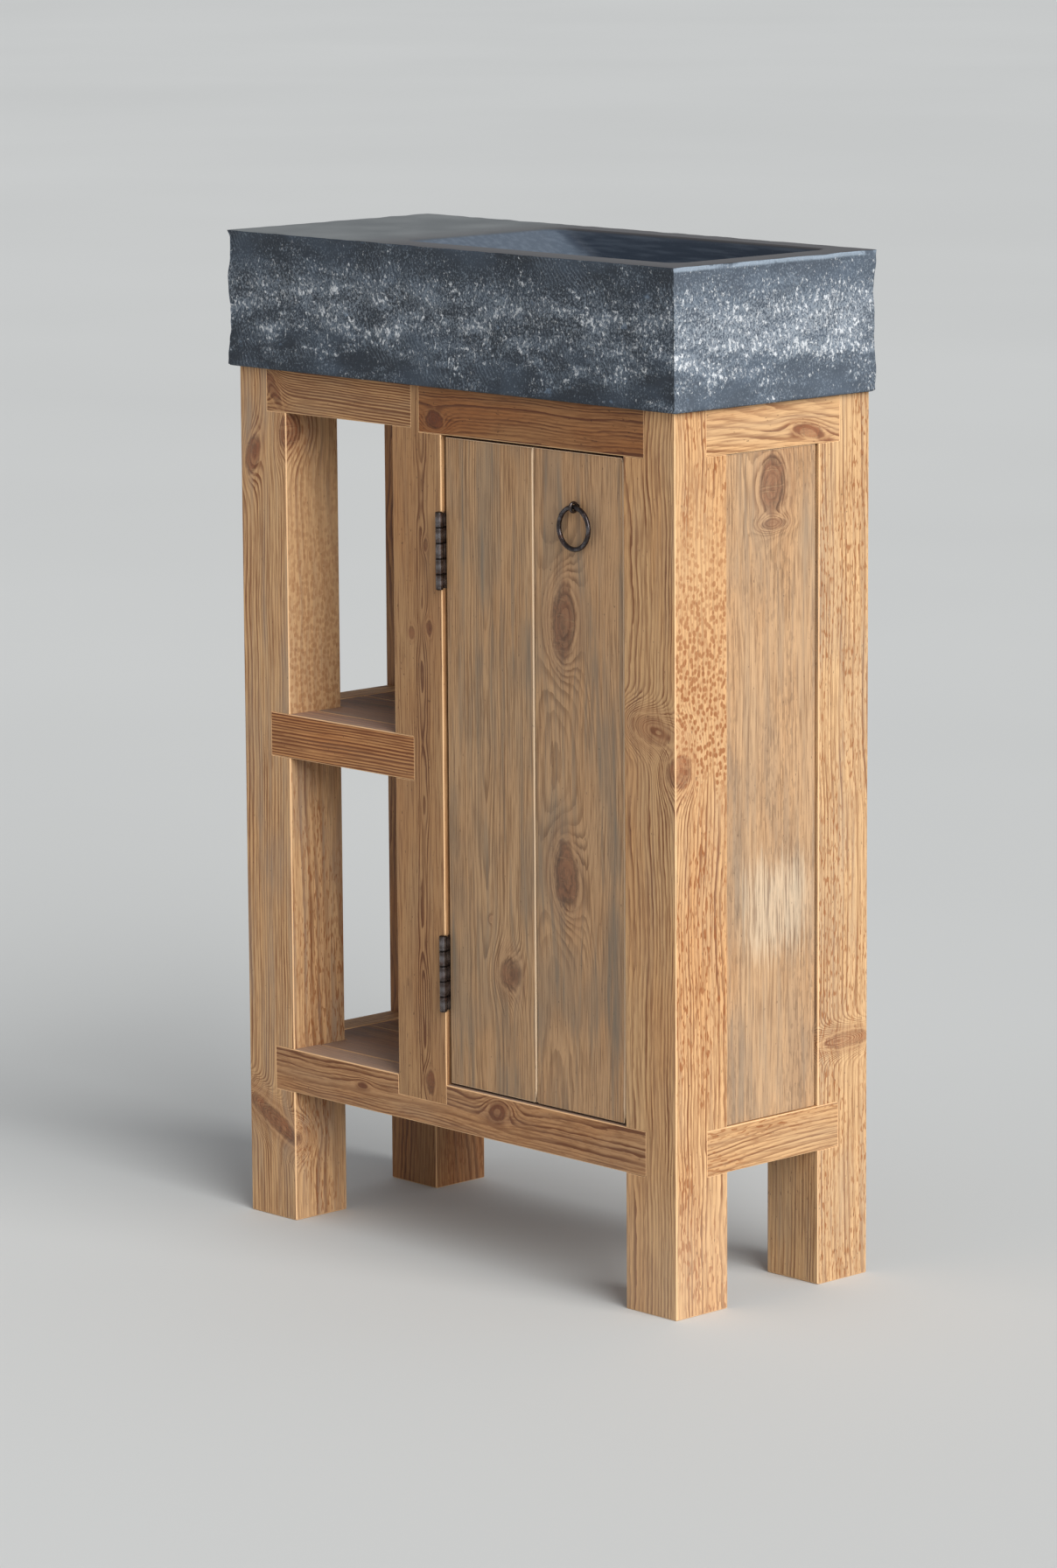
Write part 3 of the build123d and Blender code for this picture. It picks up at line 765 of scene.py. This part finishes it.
WELD = 0.01 * MM
SLICE = 13 * MM
SLICE_CLEARANCE = 3.5 * MM
TIGHT_BEVEL = 0.45 * MM
EASED_REACH = 1.2 * MM
EXTRA_EASING = {"door_plank_left": 1.1 * MM, "door_plank_right": 1.1 * MM}
TOUCHING = 0.4 * MM
NEARBY = 5 * MM
FLAT_TURN, SQUARE_TURN = math.radians(1), math.radians(60)
STRAIGHT = 0.9999
WEAR_PER_METRE = 21
LEAST_WEAR, USUAL_WEAR, WEAR_SWING = 0.45, 0.72, 0.5
ARRIS_STEPS = 3
SEED_STEP = 13.7


def whole_faces(node):
    """The node's shape with its triangles joined back into whole flat faces."""
    shape = bmesh.new()
    shape.from_mesh(frame["nodes"][node].data)
    bmesh.ops.remove_doubles(shape, verts=shape.verts, dist=WELD)
    bmesh.ops.dissolve_limit(shape, angle_limit=FLAT_TURN, verts=shape.verts, edges=shape.edges)
    return shape


def surroundings(node):
    """Everything that could touch this piece, as one tree of faces."""
    corners, faces = [], []
    low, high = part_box(node)
    for other in TIMBER_NODES + ["basin"]:
        other_low, other_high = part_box(other)
        apart = any(other_low[i] > high[i] + NEARBY or other_high[i] < low[i] - NEARBY for i in range(3))
        open_joint = {node, other} == {"door_plank_left", "door_plank_right"}
        if other == node or apart or open_joint:
            continue
        mesh = frame["nodes"][other].data
        first = len(corners)
        corners += [v.co.copy() for v in mesh.vertices]
        faces += [[first + i for i in polygon.vertices] for polygon in mesh.polygons]
    return BVHTree.FromPolygons(corners, faces) if faces else None


def widen_easing(shape, face, extra):
    """Takes the upright arrises of a door plank's front face further off, as a plane would."""
    front = {vertex for vertex in shape.verts if vertex.co.y < face + WELD}
    left, right = min(v.co.x for v in front), max(v.co.x for v in front)
    for vertex in shape.verts:
        for arris, inward in ((left, 1), (right, -1)):
            if abs(vertex.co.x - arris) > EASED_REACH:
                continue
            if vertex in front:
                vertex.co.x += inward * extra
            elif vertex.co.y < face + EASED_REACH:
                vertex.co.y += extra


def arris_share(edge, neighbours, widest, seed):
    """How far a stretch of arris has been eased away, as a share of the widest: little where another piece
    meets it.
    """
    if len(edge.link_faces) != 2 or not edge.is_convex or edge.calc_face_angle(0.0) < SQUARE_TURN:
        return 0.0
    run = (edge.verts[1].co - edge.verts[0].co).normalized()
    if max(abs(c) for c in run) < STRAIGHT:
        return 0.0
    middle = (edge.verts[0].co + edge.verts[1].co) / 2
    if neighbours is not None and neighbours.find_nearest(middle, TOUCHING)[0] is not None:
        return TIGHT_BEVEL / widest
    wear = noise.noise(middle * WEAR_PER_METRE + Vector((seed, 0, 0)))
    return min(1.0, max(LEAST_WEAR, USUAL_WEAR + WEAR_SWING * wear))


def slice_across(shape, grain, low, length):
    """Cuts the faces every few millimetres along the grain, clear of the shoulders, so wear can vary."""
    slices = max(2, round(length / SLICE))
    shoulders = {vertex.co[grain] for vertex in shape.verts}
    facing = Vector((0, 0, 0))
    facing[grain] = 1
    for i in range(1, slices):
        at = Vector(low)
        at[grain] += length * i / slices
        if any(abs(at[grain] - shoulder) < SLICE_CLEARANCE for shoulder in shoulders):
            continue
        everything = shape.verts[:] + shape.edges[:] + shape.faces[:]
        bmesh.ops.bisect_plane(shape, geom=everything, plane_co=at, plane_no=facing, dist=WELD)


def worn_timber(node, seed):
    """A piece of timber with the outline of its node and arrises rounded by years of use."""
    cut = CUTS[node]
    grain = AXIS_NUMBER[cut.axes[2]]
    low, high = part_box(node)
    shape = whole_faces(node)
    if node in EXTRA_EASING:
        widen_easing(shape, low.y, EXTRA_EASING[node])
    slice_across(shape, grain, low, high[grain] - low[grain])
    neighbours = surroundings(node)
    weights = shape.edges.layers.float.new("bevel_weight_edge")
    for edge in shape.edges:
        edge[weights] = arris_share(edge, neighbours, cut.arris * MM, seed)
    piece = set_out(f"{node}_timber", as_mesh(shape, f"{node}_timber"))
    bevel = piece.modifiers.new("worn_arrises", "BEVEL")
    bevel.limit_method = "WEIGHT"
    bevel.width = cut.arris * MM
    bevel.segments = ARRIS_STEPS
    bevel.use_clamp_overlap = False
    smoothed(settled(piece))
    piece.modifiers.new("flat_faces", "WEIGHTED_NORMAL").keep_sharp = True
    return piece


def timber():
    """Every post, rail, board, batten and cleat, each with wood of its own."""
    for number, node in enumerate(TIMBER_NODES):
        seed = SEED_STEP * (number + 1)
        piece = worn_timber(node, seed)
        stands_for(piece, node, Board(node, seed).sawn())


# ---------------------------------------------------------------- the stone basin

SLATE, BLUE_STONE = paint(38, 45, 54), paint(80, 94, 110)
STONE_DUST, PALE_CHIP = paint(124, 135, 146), paint(212, 215, 218)
STONE_VOXEL = 2.6 * MM
SIDE_BITE = 4.6 * MM
RIM_CHIP = 0.9 * MM
SWEEPS, PITS, STROKES = 28, 150, Vector((42, 42, 66))
CHIPS = 60
SIDE_START, FADE = 3 * MM, 6 * MM
RIM_SPARED, FOOT_SPARED = 0.7, 0.6


class Limestone(Finish):
    """Blue-grey limestone: hammered sides with pale chips, a honed rim and a smooth bowl."""

    def __init__(self):
        super().__init__("hewn_limestone")
        low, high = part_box("basin")
        self.foot, self.rim = low.z / MM, high.z / MM
        self.spot = self.scaled(self.place, 1 / MM)
        self.across = self.part(self.spot, "X")
        self.deep, self.height = self.across.out("Y"), self.across.out("Z")
        self.up = self.part(self.place.out("Normal"), "Z")
        # lit_side marks the faces towards the window, +X, which are painted lighter below as painted light.
        self.lit_side = self.rise(self.up.out("X"), 0.4, 0.8)
        to_side, to_front = high.x / MM - abs(self.across), high.y / MM - abs(self.deep)
        self.outer = self.fall(self.maths("MINIMUM", to_side, to_front), 4.5, 9.0)
        self.hewn = self.outer * self.fall(self.up, 0.55, 0.9)
        self.clouding = self.over((60, 60, 26), 3.0, detail=3.0)
        self.crowd = self.over((42, 42, 17), 11.0, detail=3.0, roughness=0.6)
        self.grit = self.over((3.4, 3.4, 4.4), 17.0, detail=3.0, roughness=0.7)
        self.crumb = self.over((1.6, 1.6, 2.1), 23.0, detail=2.0, roughness=0.7)

    def over(self, size, seed, **settings):
        """Soft noise over the basin."""
        return self.cloud(self.spot, size, seed=seed, **settings)

    def sides(self):
        """The hammered sides: stone dust, pale chips and tool strokes, thickest in an uneven belt, and
        painted lighter on the side the window lights.
        """
        rim, foot, hewn, lit_side = self.rim, self.foot, self.hewn, self.lit_side
        wavering = self.height + (self.crowd - 0.5) * 60
        belt = self.rise(wavering, foot + 2, foot + 46) * self.fall(wavering, rim - 44, rim - 2)
        crowding = (self.crowd - 0.5) * 0.36 + (belt + lit_side * 0.3) * 0.1
        self.chips = self.rise(self.grit + crowding, 0.64, 0.78)
        dust = self.rise(self.crumb + crowding, 0.54, 0.72)
        haze = self.fall(abs(wavering - ((foot + rim) / 2 + 4)), 4.0, 36.0)
        strokes = (self.across + self.deep) * 1.25 + self.height * 0.75 + (self.clouding - 0.5) * 26
        tooled = self.rise(self.over((50, 50, 34), 31.0, detail=1.0), 0.5, 0.62)
        self.struck = self.rise(self.maths("SINE", strokes + (self.grit - 0.5) * 5), 0.2, 1.0) * tooled
        smudge = self.rise(self.over((13, 13, 9), 41.0, detail=2.0), 0.69, 0.78)

        colour = self.mix(self.rise(self.clouding, 0.4, 0.75) * 0.4, SLATE, BLUE_STONE)
        # The side towards the window gets a lighter tint and more pale dust: painted light.
        colour = self.mix(hewn * lit_side * 0.3, colour, paint(104, 116, 130))
        colour = self.mix(hewn * haze * dust * (lit_side * 0.25 + 0.15), colour, PALE_CHIP)
        colour = self.mix(hewn * belt * self.rise(self.crowd, 0.4, 0.75) * 0.5, colour, BLUE_STONE)
        colour = self.mix(hewn * dust * 0.62, colour, STONE_DUST)
        colour = self.mix(hewn * self.struck * 0.25, colour, STONE_DUST)
        colour = self.mix(hewn * self.chips * (self.crumb * 0.9 + 0.4), colour, PALE_CHIP)
        return self.mix(hewn * smudge * 0.45, colour, paint(112, 130, 150))

    def honed(self):
        """The flat rim and ledge, darker towards the right."""
        honed = self.mix(self.rise(self.clouding, 0.3, 0.75), paint(90, 95, 96), paint(114, 118, 118))
        return self.mix(self.rise(self.across, -140.0, -50.0), honed, paint(72, 70, 71))

    def bowl(self):
        """The ramp, walls and floor: smooth and streaked by water, the up-facing ramp and floor painted
        lighter than the walls as painted light, and a painted highlight at the foot of the ramp.
        """
        streaks = self.over((40, 6, 3), 47.0, detail=2.0)
        # Ramp and floor face up and are painted lighter than the walls: painted light.
        bowl = self.mix(self.rise(self.up, 0.4, 0.8), paint(58, 67, 80), paint(76, 86, 98))
        bowl = self.mix(self.rise(streaks, 0.42, 0.7) * 0.35, bowl, paint(104, 114, 126))
        # A pale band at the foot of the ramp: painted highlight where the curve between ramp and floor
        # catches the light.
        ramp_foot_highlight = self.rise(self.across, 30.0, 44.0) * self.fall(self.across, 50.0, 64.0)
        bowl = self.mix(ramp_foot_highlight * self.rise(self.up, 0.3, 0.7) * 0.6, bowl, paint(132, 148, 168))
        return self.mix(self.rise(self.crumb, 0.62, 0.74) * 0.3, bowl, STONE_DUST)

    def hewn_stone(self):
        """The finished material."""
        rim, hewn = self.rim, self.hewn
        in_bowl = self.fall(self.height, rim - 3.0, rim - 0.6)
        colour = self.mix((1 - hewn) * in_bowl, self.sides(), self.bowl())
        colour = self.mix((1 - hewn) * (1 - in_bowl), colour, self.honed())
        # A pale band along the upper edge of the lit side only: chipped arris and painted highlight.
        top_edge = self.outer * self.rise(self.height, rim - 5.5, rim - 3.0) * self.fall(self.up, 0.8, 0.97)
        broken_and_highlit = self.rise(self.crowd + self.grit * 0.3, 0.45, 0.65)
        colour = self.mix(top_edge * broken_and_highlit * self.lit_side * 0.6, colour, paint(160, 174, 188))
        rough = self.grit * 1.0 + self.crumb * 0.4 + self.chips * 0.3 - self.struck * 0.3
        relief = hewn * rough + self.crumb * 0.03
        roughness = 0.36 + hewn * 0.3 + self.chips * 0.08
        return self.finished(colour, roughness, self.bump(relief), Specular_IOR_Level=0.45)


def clamped(share):
    """A share kept between 0 and 1."""
    return min(1.0, max(0.0, share))


def bite(spot):
    """How deep the mason's tools went at a place on the sides, from 0 to 1."""
    sweep = clamped(noise.noise(spot * SWEEPS) * 1.1 + 0.45)
    stroke = abs(noise.noise(spot * STROKES + Vector((0, 0, 7)))) * 1.4
    pit = noise.noise(spot * PITS + Vector((3, 5, 7))) * 0.5 + 0.5
    return min(1.0, 0.68 * sweep + 0.2 * stroke + 0.14 * pit)


def stone_basin():
    """The basin, remeshed fine enough to be hewn: its sides are cut back unevenly and its rim stays flat."""
    piece = set_out("basin_hewn", frame["nodes"]["basin"].data.copy())
    piece.modifiers.new("weld", "WELD").merge_threshold = WELD
    voxels = piece.modifiers.new("grain", "REMESH")
    voxels.mode = "VOXEL"
    voxels.voxel_size = STONE_VOXEL
    mesh = settled(piece)
    low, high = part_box("basin")
    places = [v.co.copy() for v in mesh.vertices]
    normals = [v.normal.copy() for v in mesh.vertices]
    for vertex, spot, normal in zip(mesh.vertices, places, normals):
        inset = min(spot.x - low.x, high.x - spot.x, spot.y - low.y, high.y - spot.y)
        outside = 1.0 - clamped((inset - SIDE_START) / FADE)
        if outside <= 0:
            continue
        outward = Vector((normal.x, normal.y, 0))
        near_rim = max(0.0, 1 - (high.z - spot.z) / FADE)
        near_foot = max(0.0, 1 - (spot.z - low.z) / FADE)
        spared = RIM_SPARED * near_rim + FOOT_SPARED * near_foot
        moved = spot - outward * (bite(spot) * SIDE_BITE * outside * (1 - spared))
        moved.z -= near_rim * outside * (noise.noise(spot * CHIPS) * 0.5 + 0.5) * RIM_CHIP
        vertex.co = moved
    smoothed(mesh)
    mesh.update()
    return piece


# ---------------------------------------------------------------- iron and small fittings


def iron_finish(name, dark, bright, rubbed_highlit_share, seed, knuckles=None):
    """Forged iron, waxed dark, with brighter metal where it is handled and as painted highlight, painted
    shade in the gaps where two knuckles meet and a painted highlight along each knuckle.
    """
    f = Finish(name)
    spot = f.scaled(f.place, 1 / MM)
    scale = f.cloud(spot, (5, 5, 5), detail=3.0, seed=seed, roughness=0.6)
    grains = f.cloud(spot, (0.7, 0.7, 0.9), detail=2.0, seed=seed + 3)
    rust = f.rise(f.cloud(spot, (7, 7, 9), detail=2.0, seed=seed + 5), 0.55, 0.7)
    # Brighter patches: metal bared by handling, made brighter still as a painted highlight.
    rubbed_and_highlit = f.rise(scale + grains * 0.3, 0.6, 0.85) * rubbed_highlit_share
    colour = f.mix(rubbed_and_highlit, dark, bright)
    colour = f.mix(rust * 0.35, colour, paint(92, 58, 40))
    # Hinge knuckles: painted shade at each gap between two knuckles and a painted highlight along the middle
    # of each knuckle.
    if knuckles:
        bottom, length = knuckles
        height = f.node("ShaderNodeSeparateXYZ", {}, {0: spot}, out="Z")
        along = f.maths("FRACT", (height - bottom) / length)
        to_joint = f.maths("MINIMUM", along, 1 - along)
        colour = f.mix(f.fall(to_joint, 0.03, 0.09) * 0.9, colour, paint(26, 19, 17))
        colour = f.mix(f.rise(to_joint, 0.2, 0.5) * 0.3, colour, bright)
    roughness = 0.16 + grains * 0.14 - rubbed_and_highlit * 0.05 + rust * 0.2
    return f.finished(colour, roughness, f.bump(scale * 0.08 + grains * 0.03), Metallic=0.9)


def zinc_finish():
    """Yellow-passivated zinc on the screws, scuffed grey on the crowns."""
    f = Finish("passivated_zinc")
    spot = f.scaled(f.place, 1 / MM)
    tarnish = f.cloud(spot, (3, 3, 3), detail=2.0, seed=5.0)
    grains = f.cloud(spot, (0.5, 0.5, 0.5), detail=1.0, seed=9.0)
    colour = f.mix(f.rise(tarnish, 0.4, 0.65), paint(176, 158, 108), paint(150, 150, 146))
    return f.finished(colour, 0.32 + grains * 0.16, f.bump(grains * 0.03), Metallic=0.95)


def plate_finish():
    """Bright zinc plate with fine rolling lines."""
    f = Finish("zinc_plate")
    spot = f.scaled(f.place, 1 / MM)
    lines = f.cloud(spot, (0.3, 0.3, 14), detail=2.0, seed=3.0)
    marks = f.cloud(spot, (6, 6, 6), detail=2.0, seed=7.0)
    colour = f.mix(f.rise(marks, 0.4, 0.7), paint(186, 188, 190), paint(158, 158, 160))
    return f.finished(colour, 0.28 + lines * 0.2, f.bump(lines * 0.02), Metallic=0.95)


def plastic_finish():
    """Brown moulded plastic with a fine spark-eroded grain."""
    f = Finish("moulded_plastic")
    spot = f.scaled(f.place, 1 / MM)
    grains = f.cloud(spot, (0.35, 0.35, 0.35), detail=1.0, seed=3.0)
    scuffs = f.rise(f.cloud(spot, (1.4, 9, 3), detail=2.0, seed=7.0), 0.6, 0.72)
    colour = f.mix(scuffs * 0.4, paint(92, 62, 42), paint(124, 94, 70))
    return f.finished(colour, 0.48 + scuffs * 0.2, f.bump(grains * 0.04))


def ferrite_finish():
    """Grey sintered magnet, ground flat on its working face."""
    f = Finish("sintered_ferrite")
    spot = f.scaled(f.place, 1 / MM)
    grains = f.cloud(spot, (0.4, 0.4, 0.4), detail=2.0, seed=3.0)
    scratches = f.rise(f.cloud(spot, (0.3, 0.3, 6), detail=1.0, seed=7.0), 0.58, 0.7)
    colour = f.mix(scratches * 0.4, paint(58, 58, 60), paint(104, 104, 108))
    return f.finished(colour, 0.5 + grains * 0.15, f.bump(grains * 0.03), Metallic=0.4)


EASED = {
    "aged_iron": 0.25 * MM,
    "catch_plastic": 0.4 * MM,
    "magnet_ferrite": 0.2 * MM,
    "striker_steel": 0.2 * MM,
}
EASED_STEPS, EASED_TURN = 2, math.radians(40)


def eased_metal(node, material, width):
    """Gives a fitting its finish and takes the sharpness off its edges."""
    fitting = frame["nodes"][node]
    fitting.data.materials.clear()
    fitting.data.materials.append(material)
    fitting.modifiers.new("weld", "WELD").merge_threshold = WELD
    if width:
        bevel = fitting.modifiers.new("eased_edges", "BEVEL")
        bevel.limit_method = "ANGLE"
        bevel.angle_limit = EASED_TURN
        bevel.width = width
        bevel.segments = EASED_STEPS
        bevel.use_clamp_overlap = True
    fitting.modifiers.new("flat_faces", "WEIGHTED_NORMAL").keep_sharp = True


RING_STEPS, WIRE_STEPS = 120, 18
WIRE_SHARE, WAIST_SWING, HAMMER_SWING, DENT_SWING = 0.95, 0.03, 0.03, 0.025
WAISTS, HAMMER_MARKS, DENTS = 2.4, 9, 14
HINGE_KNUCKLES = 5


def forged_ring(material):
    """The ring pull: a hand-forged ring, a little uneven in its wire."""
    low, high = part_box("pull_ring")
    centre = (low + high) / 2
    wire = (high.y - low.y) / 2
    mean = (high.x - low.x) / 2 - wire
    shape = bmesh.new()
    loops = []
    for i in range(RING_STEPS):
        turn = math.tau * i / RING_STEPS
        out = Vector((math.sin(turn), 0, math.cos(turn)))
        thin = WIRE_SHARE + WAIST_SWING * noise.noise(out * WAISTS + Vector((3, 1, 2)))
        hammered = HAMMER_SWING * noise.noise(out * HAMMER_MARKS)
        loop = []
        for j in range(WIRE_STEPS):
            roll = math.tau * j / WIRE_STEPS
            side = out * math.cos(roll) + Vector((0, 1, 0)) * math.sin(roll)
            dent = DENT_SWING * noise.noise(out * DENTS + side * 2)
            loop.append(shape.verts.new(centre + out * mean + side * wire * (thin + hammered + dent)))
        loops.append(loop)
    for i, loop in enumerate(loops):
        after = loops[(i + 1) % RING_STEPS]
        for j in range(WIRE_STEPS):
            k = (j + 1) % WIRE_STEPS
            shape.faces.new((loop[j], after[j], after[k], loop[k])).smooth = True
    bmesh.ops.recalc_face_normals(shape, faces=shape.faces)
    stands_for(set_out("pull_ring_forged", as_mesh(shape, "pull_ring_forged")), "pull_ring", material)


def fittings():
    """The hinges, the ring and its eye, the catch and its striker, and all the screws."""
    # The bright colour stands for handled metal and for painted highlight.
    dull, rubbed_and_highlit = paint(76, 67, 64), paint(156, 152, 154)
    iron = iron_finish("waxed_iron", dull, rubbed_and_highlit, 0.3, 4.0)
    hinge_iron = {}
    for place in ("upper", "lower"):
        low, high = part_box(f"{place}_hinge_pin")
        knuckle = (high.z - low.z) / MM / HINGE_KNUCKLES
        hinge_iron[place] = iron_finish(f"{place}_hinge_iron", dull, rubbed_and_highlit, 0.3, 4.0, (low.z / MM, knuckle))
    ring_iron = iron_finish("handled_highlit_iron", paint(60, 54, 54), paint(156, 152, 156), 0.35, 9.0)
    finishes = {
        "aged_iron": iron,
        "zinc_screws": zinc_finish(),
        "catch_plastic": plastic_finish(),
        "magnet_ferrite": ferrite_finish(),
        "striker_steel": plate_finish(),
    }
    for node, slot in sorted(SLOT_OF.items()):
        if slot in finishes and node != "pull_ring":
            round_work = node == "ring_eye" or node.startswith("hinge_screws")
            material = hinge_iron[node.split("_")[0]] if "_hinge_" in node else finishes[slot]
            eased_metal(node, material, 0 if round_work else EASED.get(slot, 0))
    forged_ring(ring_iron)


# ---------------------------------------------------------------- floor, light and camera

FLOOR_REACH, FLOOR_CELLS = 60.0, 12


def floor():
    """A pale studio floor, far wider than the view."""
    f = Finish("pale_floor")
    patches = f.cloud(f.place, (1.7, 1.7, 1.0), detail=3.0, seed=2.0)
    colour = f.mix(patches, paint(204, 205, 203), paint(212, 213, 211))
    material = f.finished(colour, 0.7 + patches * 0.1)
    shape = bmesh.new()
    bmesh.ops.create_grid(shape, x_segments=FLOOR_CELLS, y_segments=FLOOR_CELLS, size=FLOOR_REACH)
    mesh = as_mesh(shape, "studio_floor")
    mesh.materials.append(material)
    set_out("studio_floor", mesh)


WINDOW_STRENGTH, WINDOW_SPREAD = 3.9, math.radians(50)
WINDOW_TOWARDS = Vector((1.0, -0.16, 0.58))
FILL_WATTS, FILL_WIDTH, FILL_HEIGHT, FILL_TINT = 11, 2.4, 2.0, (1.0, 0.97, 0.94)
FILL_PLACE, FILL_AIM = Vector((-0.9, -3.8, 1.8)), Vector((0, 0, 0.4))
ROOM_COLOUR, ROOM_STRENGTH = (0.92, 0.95, 1.0, 1.0), 0.34


def lighting():
    """A broad soft light from the panelled side, a weak one from the front and a pale room."""
    window = bpy.data.lights.new("window_side", "SUN")
    window.energy = WINDOW_STRENGTH
    window.angle = WINDOW_SPREAD
    set_out("window_side", window).rotation_euler = WINDOW_TOWARDS.to_track_quat("Z", "Y").to_euler()
    fill = bpy.data.lights.new("front_fill", "AREA")
    fill.shape = "RECTANGLE"
    fill.size = FILL_WIDTH
    fill.size_y = FILL_HEIGHT
    fill.energy = FILL_WATTS
    fill.color = FILL_TINT
    stand = set_out("front_fill", fill)
    stand.location = FILL_PLACE
    stand.rotation_euler = (FILL_AIM - FILL_PLACE).to_track_quat("-Z", "Y").to_euler()
    world = bpy.data.worlds.new("soft_room")
    bpy.context.scene.world = world
    world.use_nodes = True
    background = world.node_tree.nodes["Background"]
    background.inputs["Color"].default_value = ROOM_COLOUR
    background.inputs["Strength"].default_value = ROOM_STRENGTH
    bpy.context.scene.view_settings.view_transform = "Standard"


VIEW_FROM = Vector((3.77681, -3.58347, 1.33981))
VIEW_YAW, VIEW_PITCH, VIEW_ROLL = math.radians(46.688), math.radians(10.053), math.radians(-0.3896)
LENS_MM, FILM_WIDTH_MM = 136.9, 36.0
FARTHEST = 200.0


def camera():
    """Stands off the right front corner, a little above the rim, with a long lens."""
    level = Vector((-math.sin(VIEW_YAW), math.cos(VIEW_YAW), 0))
    forward = level * math.cos(VIEW_PITCH) - Vector((0, 0, math.sin(VIEW_PITCH)))
    right = Vector((math.cos(VIEW_YAW), math.sin(VIEW_YAW), 0))
    up = right.cross(forward)
    level_right = right * math.cos(VIEW_ROLL) + up * math.sin(VIEW_ROLL)
    level_up = up * math.cos(VIEW_ROLL) - right * math.sin(VIEW_ROLL)
    lens = bpy.data.cameras.new("view")
    lens.lens = LENS_MM
    lens.sensor_width = FILM_WIDTH_MM
    lens.clip_end = FARTHEST
    holder = set_out("view", lens)
    turned = Matrix((level_right, level_up, -forward)).transposed()
    holder.matrix_world = Matrix.Translation(VIEW_FROM) @ turned.to_4x4()
    bpy.context.scene.camera = holder


camera()
floor()
lighting()
timber()
stands_for(stone_basin(), "basin", Limestone().hewn_stone())
fittings()
